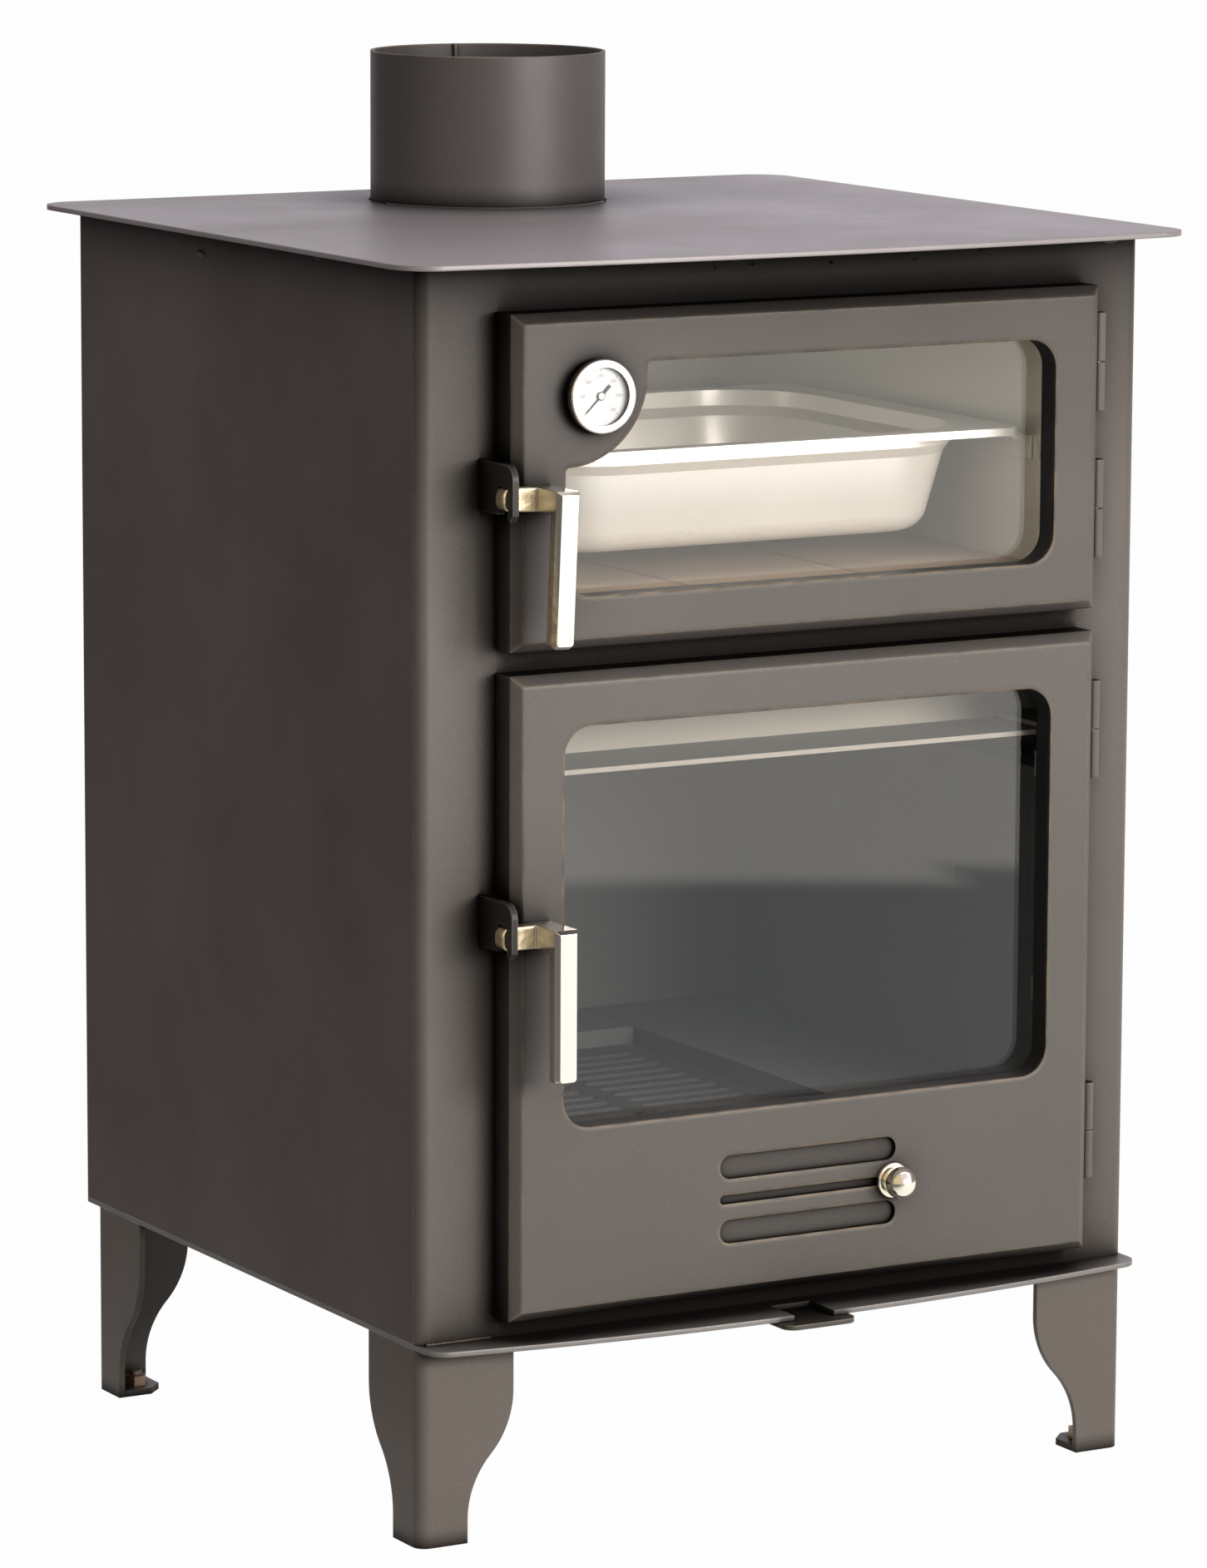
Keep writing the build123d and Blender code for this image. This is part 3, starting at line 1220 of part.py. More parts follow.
oven_clips = clip_places(oven_window_height, oven_window_z, (CLIP_COLUMN,), (0,))
save("oven_window_frame", oven_collar - stem_hole - screw_holes(oven_clips))
save("oven_glass_gasket", make_gasket(oven_window_height, oven_window_z, True))
save("oven_glass", make_glass(oven_window_height, oven_window_z, True))
save("oven_glass_clips", make_clips(oven_clips))
save("oven_clip_screws", make_screws(oven_clips))
save("oven_seal_channel", make_channel(OVEN_BASE, OVEN_DOOR_HEIGHT))
save("oven_rope_seal", make_rope(OVEN_BASE, OVEN_DOOR_HEIGHT))
save("oven_door_barrels", make_door_knuckles(oven_hinges))
save("thermometer_case", make_gauge_case())
save("thermometer_bezel", make_gauge_bezel())
save("thermometer_dial", make_gauge_dial())
save("thermometer_lens", make_gauge_lens())
save("thermometer_stem", make_gauge_stem())
save("thermometer_needle", make_gauge_needle())
save("oven_handle", make_handle(oven_pivot, OVEN_HANDLE_LEAN))
save("oven_handle_spindle", make_spindle(oven_pivot))

# Fire door
fire_window_z = FIRE_TOP - FIRE_WINDOW_FROM_TOP - FIRE_WINDOW_HEIGHT / 2
fire_window_height = FIRE_WINDOW_HEIGHT
spindle_hole = rod_y(HANDLE_X, fire_pivot, spindle_hole_radius, DOOR_FRONT - PAST, PANEL_INNER + PAST)
fire_cut = upright(window(fire_window_height, fire_window_z, 0, False), DOOR_FRONT - PAST, 0)
fire_panel = make_door_panel(FIRE_BASE, FIRE_DOOR_HEIGHT) - fire_cut - spindle_hole
knob_slot_z = (UPPER_VENT_Z + LOWER_VENT_Z) / 2
vents = ((UPPER_VENT_Z, VENT_HEIGHT), (LOWER_VENT_Z, VENT_HEIGHT), (knob_slot_z, KNOB_SLOT_HEIGHT))
for vent_z, vent_height in vents:
    fire_panel = fire_panel - upright(vent_outline(vent_z, vent_height), DOOR_FRONT - PAST, 0)
save("fire_door_panel", fire_panel)
fire_edge = fire_window_z - fire_window_height / 2 - FLANGE_BELOW_WINDOW
fire_collar = make_collar(FIRE_BASE, FIRE_DOOR_HEIGHT, fire_window_height, fire_window_z, False, fire_edge)
both_columns = (-CLIP_COLUMN, CLIP_COLUMN)
fire_clips = clip_places(fire_window_height, fire_window_z, both_columns, (-CLIP_ROW, CLIP_ROW))
save("fire_window_frame", fire_collar - screw_holes(fire_clips))
save("fire_glass_gasket", make_gasket(fire_window_height, fire_window_z, False))
save("fire_glass", make_glass(fire_window_height, fire_window_z, False))
save("fire_glass_clips", make_clips(fire_clips))
save("fire_clip_screws", make_screws(fire_clips))
save("fire_seal_channel", make_channel(FIRE_BASE, FIRE_DOOR_HEIGHT))
save("fire_rope_seal", make_rope(FIRE_BASE, FIRE_DOOR_HEIGHT))
save("fire_door_barrels", make_door_knuckles(fire_hinges))
save("air_slide_guides", make_slide_guides())
save("air_slide", make_air_slide())
save("air_knob", make_air_knob())
save("fire_handle", make_handle(fire_pivot, 0))
save("fire_handle_spindle", make_spindle(fire_pivot))
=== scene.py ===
from math import atan2, cos, degrees, pi, radians, sin

import bpy
from mathutils import Euler, Matrix, Vector


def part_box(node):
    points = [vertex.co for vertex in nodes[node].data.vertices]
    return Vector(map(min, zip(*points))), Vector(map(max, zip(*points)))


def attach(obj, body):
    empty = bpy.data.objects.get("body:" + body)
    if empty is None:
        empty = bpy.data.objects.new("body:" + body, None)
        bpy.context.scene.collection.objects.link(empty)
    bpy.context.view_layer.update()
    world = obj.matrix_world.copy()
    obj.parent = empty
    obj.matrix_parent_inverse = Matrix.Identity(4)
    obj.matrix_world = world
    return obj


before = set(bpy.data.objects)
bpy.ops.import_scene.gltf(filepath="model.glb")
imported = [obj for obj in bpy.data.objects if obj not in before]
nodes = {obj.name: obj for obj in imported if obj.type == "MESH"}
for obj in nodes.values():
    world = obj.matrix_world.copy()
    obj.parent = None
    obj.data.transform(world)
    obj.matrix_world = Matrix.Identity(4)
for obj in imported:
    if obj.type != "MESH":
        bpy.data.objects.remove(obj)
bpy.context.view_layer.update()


# The stove is photographed from the front left, a little from above, through a long lens.
# The lens is given for the height of the 1451 x 1885 frame.
CAMERA_PLACE = (-2.1302, -3.7287, 1.1273)
CAMERA_TURN = radians(29.65)
CAMERA_DOWN = radians(9.46)
CAMERA_ROLL = radians(0.26)
LENS = 159.14
FILM_HEIGHT = 36.0
SIGHT = 200.0

camera_data = bpy.data.cameras.new("photo_camera")
camera_data.sensor_fit = "VERTICAL"
camera_data.sensor_height = FILM_HEIGHT
camera_data.lens = LENS
camera_data.clip_end = SIGHT
camera = bpy.data.objects.new("photo_camera", camera_data)
bpy.context.scene.collection.objects.link(camera)
camera.location = CAMERA_PLACE
looking = Euler((pi / 2 - CAMERA_DOWN, 0, -CAMERA_TURN)).to_matrix()
camera.rotation_euler = (looking @ Matrix.Rotation(CAMERA_ROLL, 3, "Z")).to_euler()
bpy.context.scene.camera = camera
bpy.context.scene.view_settings.view_transform = "Standard"


# The floor is a plain pale sheet that keeps the stove's soft shadow. Seen directly it is
# brightened to white paper, and so is its right half in a blurred reflection. For the clear
# panes' sharp mirror rays it glows instead with a painted reflection: dim ground with one low
# rise at its right, and a brighter sky beyond.
FLOOR_SIZE = 120.0
FLOOR_COLOUR = (0.23, 0.23, 0.235, 1)
FLOOR_WHITE = 0.985
GROUND_REACH = 2.31
GROUND_BLUR = 0.06
RISE = 0.085
# Each pair is the x where a soft change starts and the x where it stops.
WHITE_HALF = (-0.6, 0.1)
RISE_SLOPE = (1.22, 1.28)
GROUND = (0.74, 0.77, 0.79, 1)
SKY = (1.86, 1.82, 1.72, 1)
WHITE = (1, 1, 1, 1)


def feed(tree, socket, value):
    """A socket gets a plain value or another node's output."""
    if isinstance(value, bpy.types.NodeSocket):
        tree.links.new(value, socket)
    else:
        socket.default_value = value


def compute(tree, operation, first, second):
    """Two values combined by an arithmetic operation."""
    node = tree.nodes.new("ShaderNodeMath")
    node.operation = operation
    feed(tree, node.inputs[0], first)
    feed(tree, node.inputs[1], second)
    return node.outputs[0]


def soft_step(tree, value, start, stop):
    """0 at the start and 1 at the stop, with a soft change between."""
    node = tree.nodes.new("ShaderNodeMapRange")
    node.interpolation_type = "SMOOTHSTEP"
    node.inputs["From Min"].default_value = start
    node.inputs["From Max"].default_value = stop
    tree.links.new(value, node.inputs["Value"])
    return node.outputs["Result"]


def along(tree, axis, place):
    """One coordinate of a place or a heading."""
    node = tree.nodes.new("ShaderNodeSeparateXYZ")
    tree.links.new(place, node.inputs[0])
    return node.outputs[axis]


def rightward(tree, place, left, right):
    """0 to the left of one x and 1 to the right of another, with a soft change between."""
    return soft_step(tree, along(tree, "X", place), left, right)


def ray(tree, fact):
    """A fact about the ray that is traced, such as whether it is a glossy one."""
    return tree.nodes.new("ShaderNodeLightPath").outputs[fact]


def direct_ray(tree):
    """1 for a ray from the camera or through glass."""
    return compute(tree, "MAXIMUM", ray(tree, "Is Camera Ray"), ray(tree, "Is Transmission Ray"))


def blend_colour(tree, share, first, second):
    """Two colours mixed by a share."""
    node = tree.nodes.new("ShaderNodeMix")
    node.data_type = "RGBA"
    tree.links.new(share, node.inputs["Factor"])
    feed(tree, node.inputs["A"], first)
    feed(tree, node.inputs["B"], second)
    return node.outputs["Result"]


def blend_shader(tree, share, first, second):
    """Two shaders mixed by a share."""
    node = tree.nodes.new("ShaderNodeMixShader")
    tree.links.new(share, node.inputs[0])
    tree.links.new(first, node.inputs[1])
    tree.links.new(second, node.inputs[2])
    return node.outputs[0]


def glow(tree, colour):
    """A surface that gives off light of one colour."""
    node = tree.nodes.new("ShaderNodeEmission")
    feed(tree, node.inputs["Color"], colour)
    return node.outputs[0]


bpy.ops.object.select_all(action="DESELECT")
bpy.ops.mesh.primitive_plane_add(size=FLOOR_SIZE, location=(0, 0, 0))
floor = bpy.context.active_object
floor.name = "studio_floor"
floor_material = bpy.data.materials.new("floor_sheet")
floor_material.use_nodes = True
tree = floor_material.node_tree
tree.nodes.clear()
place = tree.nodes.new("ShaderNodeTexCoord").outputs["Object"]
matt = tree.nodes.new("ShaderNodeBsdfDiffuse")
matt.inputs["Color"].default_value = FLOOR_COLOUR
mirrored = compute(tree, "MULTIPLY", ray(tree, "Is Glossy Ray"), rightward(tree, place, *WHITE_HALF))
whitened = compute(tree, "MULTIPLY", compute(tree, "MAXIMUM", direct_ray(tree), mirrored), FLOOR_WHITE)
sheet = blend_shader(tree, whitened, matt.outputs[0], glow(tree, WHITE))
distance = tree.nodes.new("ShaderNodeVectorMath")
distance.operation = "LENGTH"
tree.links.new(place, distance.inputs[0])
rise = compute(tree, "MULTIPLY", rightward(tree, place, *RISE_SLOPE), RISE)
lowered = compute(tree, "SUBTRACT", distance.outputs["Value"], rise)
ground = soft_step(tree, lowered, GROUND_REACH + GROUND_BLUR, GROUND_REACH - GROUND_BLUR)
# A painted reflection: ground and sky given off as light by the floor, for mirror rays only.
painted_horizon = glow(tree, blend_colour(tree, ground, SKY, GROUND))
clear_mirror = compute(tree, "MULTIPLY", ray(tree, "Is Singular Ray"),
                       compute(tree, "MINIMUM", ray(tree, "Glossy Depth"), 1.0))
output = tree.nodes.new("ShaderNodeOutputMaterial")
tree.links.new(blend_shader(tree, clear_mirror, sheet, painted_horizon), output.inputs["Surface"])
floor.data.materials.append(floor_material)


# The world is a white studio seen directly, and a weak fill on the stove that is warmer from
# the left. What shines in the stove is pale paper, but for a tan wall at its left, a dark
# screen at its left rear and another at its far right.
FILL_RIGHT = 0.18
FILL_LEFT = 0.74
FILL_WARM = (1, 0.93, 0.88, 1)
SCREEN = (0.20, 0.175, 0.20, 1)
TAN_WALL = (0.66, 0.54, 0.38, 1)
PAPER = (1.22, 1.15, 1.25, 1)
PAPER_SHADED = (0.76, 0.72, 0.78, 1)
SIDE_SCREEN = (0.22, 0.21, 0.20, 1)
# Each pair is the part of a heading, along x or y, over which one wall fades into the next.
RIGHT_HALF = (-0.55, 0.15)
REAR_HALF = (-0.35, 0.35)
PAPER_LIT = (0.36, 0.62)
FAR_RIGHT = (0.70, 0.92)


def background(tree, colour, strength=1.0):
    """Light of one colour from all round."""
    node = tree.nodes.new("ShaderNodeBackground")
    node.inputs["Color"].default_value = colour
    node.inputs["Strength"].default_value = strength
    return node.outputs[0]


world = bpy.data.worlds.new("studio")
bpy.context.scene.world = world
world.use_nodes = True
tree = world.node_tree
tree.nodes.clear()
heading = tree.nodes.new("ShaderNodeTexCoord").outputs["Generated"]
on_right = rightward(tree, heading, *RIGHT_HALF)
fill = blend_shader(tree, on_right, background(tree, FILL_WARM, FILL_LEFT),
                    background(tree, WHITE, FILL_RIGHT))
behind = soft_step(tree, along(tree, "Y", heading), *REAR_HALF)
left_wall = blend_shader(tree, behind, background(tree, TAN_WALL), background(tree, SCREEN))
paper = blend_shader(tree, rightward(tree, heading, *PAPER_LIT), background(tree, PAPER_SHADED),
                     background(tree, PAPER))
right_wall = blend_shader(tree, rightward(tree, heading, *FAR_RIGHT), paper, background(tree, SIDE_SCREEN))
mirrored = blend_shader(tree, on_right, left_wall, right_wall)
lit = blend_shader(tree, ray(tree, "Is Glossy Ray"), fill, mirrored)
output = tree.nodes.new("ShaderNodeOutputWorld")
tree.links.new(blend_shader(tree, direct_ray(tree), lit, background(tree, WHITE)), output.inputs["Surface"])


# A wide soft box stands in front of the stove to its right at chest height, and a weak one
# hangs over it; only the fill lights the left side.
LAMP_COLOUR = (1.0, 0.950, 0.905)


def soft_box(name, place, target, width, height, power):
    """A rectangular soft light that faces a point."""
    data = bpy.data.lights.new(name, "AREA")
    data.shape = "RECTANGLE"
    data.size = width
    data.size_y = height
    data.energy = power
    data.color = LAMP_COLOUR
    lamp = bpy.data.objects.new(name, data)
    bpy.context.scene.collection.objects.link(lamp)
    lamp.location = place
    lamp.rotation_euler = (Vector(target) - Vector(place)).to_track_quat("-Z", "Y").to_euler()


soft_box("front_box", place=(1.05, -3.4, 1.20), target=(0, 0, 0.45), width=2.2, height=1.1, power=142)
soft_box("top_box", place=(0.6, 0.2, 3.2), target=(0, 0, 0.5), width=2.0, height=2.0, power=10)


# The casing is folded and welded from 3 mm mild steel sheet and sprayed with a heat-resistant
# grey-brown metallic paint: a fine grain, cloudy patches, and edges rubbed to a warm brown and
# lightened by a painted highlight. Gaps and corners are darkened by painted shade.
PAINT = (0.130, 0.115, 0.100, 1)
# The edge colour: rubbed wear and a painted highlight.
EDGE_WEAR_AND_HIGHLIGHT = (0.30, 0.235, 0.155, 1)
CLOUD_SCALE = 6.0
GRAIN_SCALE = 900.0
BLACK = (0, 0, 0, 1)
# How dark the painted shade in gaps and corners gets.
SHADE_REST = 0.05
# How dark the painted shadow towards the top gets.
SHADOW_REST = 0.40


def material(name):
    """A new node material and its Principled shader."""
    made = bpy.data.materials.new(name)
    made.use_nodes = True
    return made, made.node_tree, made.node_tree.nodes["Principled BSDF"]


def toned(colour, factor):
    """A colour made darker or brighter by a factor."""
    return tuple(factor * channel for channel in colour[:3]) + (1,)


def place_on(tree):
    """The position on the piece, in metres."""
    return tree.nodes.new("ShaderNodeTexCoord").outputs["Object"]


def noise(tree, place, scale, detail=4.0, roughness=0.5):
    """A cloudy pattern whose patches are about 1 / scale metres wide."""
    node = tree.nodes.new("ShaderNodeTexNoise")
    node.inputs["Scale"].default_value = scale
    node.inputs["Detail"].default_value = detail
    node.inputs["Roughness"].default_value = roughness
    tree.links.new(place, node.inputs["Vector"])
    return node.outputs["Fac"]


def spread(tree, value, low, high, to_low=0.0, to_high=1.0):
    """A value stretched from one range to another and clamped."""
    node = tree.nodes.new("ShaderNodeMapRange")
    node.inputs["From Min"].default_value = low
    node.inputs["From Max"].default_value = high
    node.inputs["To Min"].default_value = to_low
    node.inputs["To Max"].default_value = to_high
    tree.links.new(value, node.inputs["Value"])
    return node.outputs["Result"]


def rounded_normal(tree, radius):
    """The normal of the piece with its edges eased by a small radius."""
    node = tree.nodes.new("ShaderNodeBevel")
    node.samples = 6
    node.inputs["Radius"].default_value = radius
    return node.outputs["Normal"]


def edge_share(tree, radius):
    """1 on the piece's edges and 0 on its faces."""
    geometry = tree.nodes.new("ShaderNodeNewGeometry")
    dot = tree.nodes.new("ShaderNodeVectorMath")
    dot.operation = "DOT_PRODUCT"
    tree.links.new(rounded_normal(tree, radius), dot.inputs[0])
    tree.links.new(geometry.outputs["Normal"], dot.inputs[1])
    return spread(tree, dot.outputs["Value"], 0.995, 0.80)


def openness(tree, reach):
    """1 on open faces, falling to a small rest in the gaps and corners, where it paints shade."""
    corner = tree.nodes.new("ShaderNodeAmbientOcclusion")
    corner.samples = 8
    corner.inputs["Distance"].default_value = reach
    return spread(tree, corner.outputs["AO"], 0.46, 1.0, SHADE_REST, 1.0)


def painted_shade(tree, colour, share):
    """A colour darkened by a share of openness, as painted shade."""
    darkened = tree.nodes.new("ShaderNodeMix")
    darkened.data_type = "RGBA"
    darkened.blend_type = "MULTIPLY"
    darkened.inputs["Factor"].default_value = 1.0
    tree.links.new(colour, darkened.inputs["A"])
    tree.links.new(blend_colour(tree, share, BLACK, WHITE), darkened.inputs["B"])
    return darkened.outputs["Result"]


def raised(tree, height, strength, distance, normal=None):
    """A bump normal from a height pattern."""
    node = tree.nodes.new("ShaderNodeBump")
    node.inputs["Strength"].default_value = strength
    node.inputs["Distance"].default_value = distance
    tree.links.new(height, node.inputs["Height"])
    if normal is not None:
        tree.links.new(normal, node.inputs["Normal"])
    return node.outputs["Normal"]


def paint(name, base, dark, shine, edge=EDGE_WEAR_AND_HIGHLIGHT, edge_radius=0.0016, roughness=0.42, reach=0.07,
          shadow_band=None):
    """The sprayed metallic paint: clouds, a fine grain, and edges rubbed to bare brown and lightened
    by a painted highlight. Painted shade darkens it and dulls its gloss within reach of other
    faces, and a painted shadow may darken it towards the top between two heights."""
    made, tree, shader = material(name)
    place = place_on(tree)
    clouds = spread(tree, noise(tree, place, CLOUD_SCALE, detail=5.0, roughness=0.62), 0.35, 0.70)
    grain = noise(tree, place, GRAIN_SCALE, detail=3.0, roughness=0.6)
    glint = toned(base, 1.7)
    tone = blend_colour(tree, clouds, base, dark)
    speckle = blend_colour(tree, spread(tree, grain, 0.60, 0.80), tone, glint)
    # Edges take a colour that is partly rubbed wear and partly a painted highlight.
    rubbed = spread(tree, noise(tree, place, 60.0), 0.3, 0.6)
    worn_and_highlit = blend_colour(tree, compute(tree, "MULTIPLY", edge_share(tree, edge_radius), rubbed), speckle, edge)
    # Painted shade: colour and gloss darken within reach of other faces.
    share = openness(tree, reach)
    # Painted shadow: darker towards the top between two given heights.
    if shadow_band is not None:
        shadowed = spread(tree, along(tree, "Z", place), shadow_band[0], shadow_band[1], 1.0, SHADOW_REST)
        share = compute(tree, "MULTIPLY", share, shadowed)
    tree.links.new(painted_shade(tree, worn_and_highlit, share), shader.inputs["Base Color"])
    tree.links.new(compute(tree, "MULTIPLY", share, shine), shader.inputs["Specular IOR Level"])
    tree.links.new(spread(tree, clouds, 0, 1, roughness - 0.04, roughness + 0.07), shader.inputs["Roughness"])
    pores = raised(tree, grain, strength=0.16, distance=0.0002, normal=rounded_normal(tree, edge_radius))
    tree.links.new(pores, shader.inputs["Normal"])
    return made


def finish_nodes(made, *names):
    """A material put on CAD nodes."""
    for name in names:
        mesh = nodes[name].data
        mesh.materials.clear()
        mesh.materials.append(made)


casing_paint = paint("casing_paint", PAINT, (0.108, 0.094, 0.080, 1), shine=0.4)
# The front panel is darker towards the top: a painted shadow under the hob's overhang.
front_paint = paint("front_paint", (0.128, 0.112, 0.099, 1), (0.107, 0.093, 0.081, 1), shine=0.4,
                    reach=0.085, shadow_band=(0.60, 0.78))
# The lip takes a lighter copy of the paint with a lighter edge: a painted sheen and highlight.
lip_paint = paint("lip_paint", (0.180, 0.168, 0.160, 1), (0.140, 0.130, 0.122, 1), shine=1.0,
                  edge=(0.36, 0.33, 0.29, 1), reach=0.03)
# The side and back panels take a darker, cooler copy of the paint: painted shade for the left side in view.
side_paint = paint("side_paint", (0.112, 0.096, 0.092, 1), (0.086, 0.070, 0.065, 1), shine=0.35)
hob_paint = paint("hob_paint", (0.235, 0.214, 0.226, 1), (0.190, 0.171, 0.180, 1), shine=0.90)
flue_paint = paint("flue_paint", (0.074, 0.067, 0.066, 1), (0.062, 0.055, 0.054, 1), shine=0.40,
                   roughness=0.50, reach=0.015)
finish_nodes(front_paint, "front_panel")
finish_nodes(lip_paint, "bottom_plate")
finish_nodes(hob_paint, "top_plate")
finish_nodes(flue_paint, "flue_collar")
finish_nodes(side_paint, "side_panel_left", "side_panel_right", "back_panel")


# The flue collar is a rolled steel tube. One bead along its front welds it to the hob, and
# its own seam runs down inside at the back.
collar_low, collar_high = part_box("flue_collar")
COLLAR_RADIUS = (collar_high.x - collar_low.x) / 2
COLLAR_MIDDLE = Vector(((collar_low.x + collar_high.x) / 2, (collar_low.y + collar_high.y) / 2, 0))
HOB_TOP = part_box("top_plate")[1].z
WELD_RADIUS = 0.0019
WELD_STANDOFF = 0.0010
WELD_FLATTENING = 0.75
WELD_BACK = -0.034
WELD_SLANT = 0.35
RIPPLE_DEGREES = 2.5
RIPPLE_DEPTH = 0.0006
SEAM_ANGLE = radians(78.3)
SEAM_LENGTH = 0.080
SEAM_INSET = 0.0025


def begin(name, add, **shape):
    """A new primitive alone in the selection."""
    bpy.ops.object.select_all(action="DESELECT")
    add(**shape)
    piece = bpy.context.active_object
    piece.name = name
    return piece


def pick(piece, test):
    """Select in edit mode only the faces whose middle and normal pass a test."""
    bpy.ops.object.mode_set(mode="EDIT")
    bpy.ops.mesh.select_mode(type="FACE")
    bpy.ops.mesh.select_all(action="DESELECT")
    bpy.ops.object.mode_set(mode="OBJECT")
    for face in piece.data.polygons:
        face.select = test(face.center, face.normal)
    bpy.ops.object.mode_set(mode="EDIT")


def settle(piece, made, body, smooth=True):
    """The piece gets its finish and its body, with its place kept in its mesh."""
    bpy.ops.object.mode_set(mode="OBJECT")
    bpy.ops.object.select_all(action="DESELECT")
    piece.select_set(True)
    bpy.context.view_layer.objects.active = piece
    bpy.ops.object.transform_apply(location=True, rotation=True, scale=True)
    if smooth:
        bpy.ops.object.shade_smooth()
    piece.data.materials.clear()
    piece.data.materials.append(made)
    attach(piece, body)


def bead(name, radius, step, ripples, place, turn):
    """A straight rippled weld bead that starts at a place and runs along its own z."""
    piece = begin(name, bpy.ops.mesh.primitive_circle_add, vertices=12, radius=0.7 * radius, fill_type="NGON",
                  location=place, rotation=turn)
    bpy.ops.object.mode_set(mode="EDIT")
    onward = Euler(turn).to_matrix() @ Vector((0, 0, step / 2))
    for swell in (1.4, 1 / 1.4) * ripples:
        bpy.ops.mesh.extrude_region_move(TRANSFORM_OT_translate={"value": onward})
        bpy.ops.transform.resize(value=(swell, swell, swell))
    bpy.ops.mesh.select_all(action="SELECT")
    bpy.ops.mesh.normals_make_consistent(inside=False)
    bpy.ops.transform.vertex_random(offset=0.15 * radius, seed=ripples)
    return piece


# The weld beads' ripple edges are lightened by the paint's painted highlight.
weld_paint = paint("weld_paint", (0.115, 0.100, 0.085, 1), (0.090, 0.078, 0.066, 1), shine=0.5,
                   edge=(0.42, 0.38, 0.32, 1), edge_radius=0.0010)
flue_weld = begin("flue_weld", bpy.ops.mesh.primitive_torus_add, major_radius=COLLAR_RADIUS + WELD_STANDOFF,
                  minor_radius=WELD_RADIUS, major_segments=144, minor_segments=8,
                  location=(COLLAR_MIDDLE.x, COLLAR_MIDDLE.y, HOB_TOP))
pick(flue_weld, lambda middle, normal: middle.y + WELD_SLANT * middle.x > WELD_BACK)
bpy.ops.mesh.delete(type="FACE")
pick(flue_weld, lambda middle, normal: int(degrees(atan2(middle.y, middle.x)) / RIPPLE_DEGREES) % 2 == 0)
bpy.ops.transform.shrink_fatten(value=-RIPPLE_DEPTH)
bpy.ops.mesh.select_all(action="SELECT")
bpy.ops.mesh.fill_holes(sides=0)
bpy.ops.transform.vertex_random(offset=0.0003, seed=3)
bpy.ops.transform.resize(value=(1, 1, WELD_FLATTENING))
bpy.ops.mesh.normals_make_consistent(inside=False)
settle(flue_weld, weld_paint, "stove")
inward = (COLLAR_RADIUS - SEAM_INSET) * Vector((cos(SEAM_ANGLE), sin(SEAM_ANGLE), 0))
collar_seam = bead("collar_seam", radius=0.0018, step=0.004, ripples=20,
                   place=COLLAR_MIDDLE + inward + Vector((0, 0, collar_high.z - SEAM_LENGTH)), turn=(0, 0, 0))
settle(collar_seam, weld_paint, "stove")


# The casing's own welds are left as they came: three tacks under the hob, a bead where the
# front panel meets the bottom plate, and a few dark drops of spatter on the front.
LEFT_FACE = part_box("front_panel")[0].x
FRONT_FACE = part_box("front_panel")[0].y
HOB_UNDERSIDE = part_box("top_plate")[0].z
LIP_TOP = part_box("bottom_plate")[1].z
# A tack is given by its x and y, its drop below the hob and its radius.
TACKS = ((LEFT_FACE, 0.0748, 0.0150, 0.0034), (LEFT_FACE, -0.0816, 0.0040, 0.0030),
         (0.2280, FRONT_FACE, 0.0030, 0.0034))
TACK_FLAT, TACK_LONG, TACK_TALL = 0.30, 1.8, 0.7
# A drop of spatter is given by its x and its drop below the hob.
SPATTER = ((-0.0518, 0.0085), (-0.0261, 0.0074), (0.0288, 0.0087), (0.0873, 0.0092), (0.1347, 0.0050))
SPATTER_RADIUS = 0.0007
SPATTER_STEP = 0.0002
SPATTER_LIFT = 0.0002
LIP_WELD_START = (LEFT_FACE + 0.0045, FRONT_FACE - 0.0004, LIP_TOP + 0.0005)


def blob(name, place, radius, seed):
    """A small uneven drop of weld metal."""
    piece = begin(name, bpy.ops.mesh.primitive_ico_sphere_add, subdivisions=3, radius=radius, location=place)
    bpy.ops.object.mode_set(mode="EDIT")
    bpy.ops.transform.vertex_random(offset=0.12 * radius, seed=seed)
    bpy.ops.mesh.vertices_smooth(factor=0.5, repeat=2)
    bpy.ops.object.mode_set(mode="OBJECT")
    return piece


def joined(pieces):
    """Several pieces made one object."""
    bpy.ops.object.select_all(action="DESELECT")
    for piece in pieces:
        piece.select_set(True)
    bpy.context.view_layer.objects.active = pieces[0]
    bpy.ops.object.join()
    return pieces[0]


tacks = []
for number, (x, y, drop, radius) in enumerate(TACKS):
    tack = blob("weld_tacks", (x, y, HOB_UNDERSIDE - drop), radius, seed=number + 1)
    on_side = x == LEFT_FACE
    tack.scale = (TACK_FLAT, TACK_LONG, TACK_TALL) if on_side else (TACK_LONG, TACK_FLAT, TACK_TALL)
    tacks.append(tack)
settle(joined(tacks), weld_paint, "stove")
spatter = []
for number, (x, drop) in enumerate(SPATTER):
    place = (x, FRONT_FACE - SPATTER_LIFT, HOB_UNDERSIDE - drop)
    radius = SPATTER_RADIUS + SPATTER_STEP * (number % 3)
    spatter.append(blob("weld_spatter", place, radius, seed=number + 11))
spatter_scale = paint("spatter_scale", (0.015, 0.013, 0.012, 1), (0.01, 0.01, 0.01, 1), shine=0.3)
settle(joined(spatter), spatter_scale, "stove")
lip_weld = bead("lip_weld", radius=0.0014, step=0.0034, ripples=13, place=LIP_WELD_START, turn=(0, pi / 2, 0))
# The lip bead's pale edges are partly rubbed metal and partly a painted highlight.
lip_bead = paint("lip_bead", (0.20, 0.155, 0.10, 1), (0.15, 0.115, 0.08, 1), shine=0.5,
                 edge=(0.60, 0.50, 0.38, 1), edge_radius=0.0010)
settle(lip_weld, lip_bead, "stove")


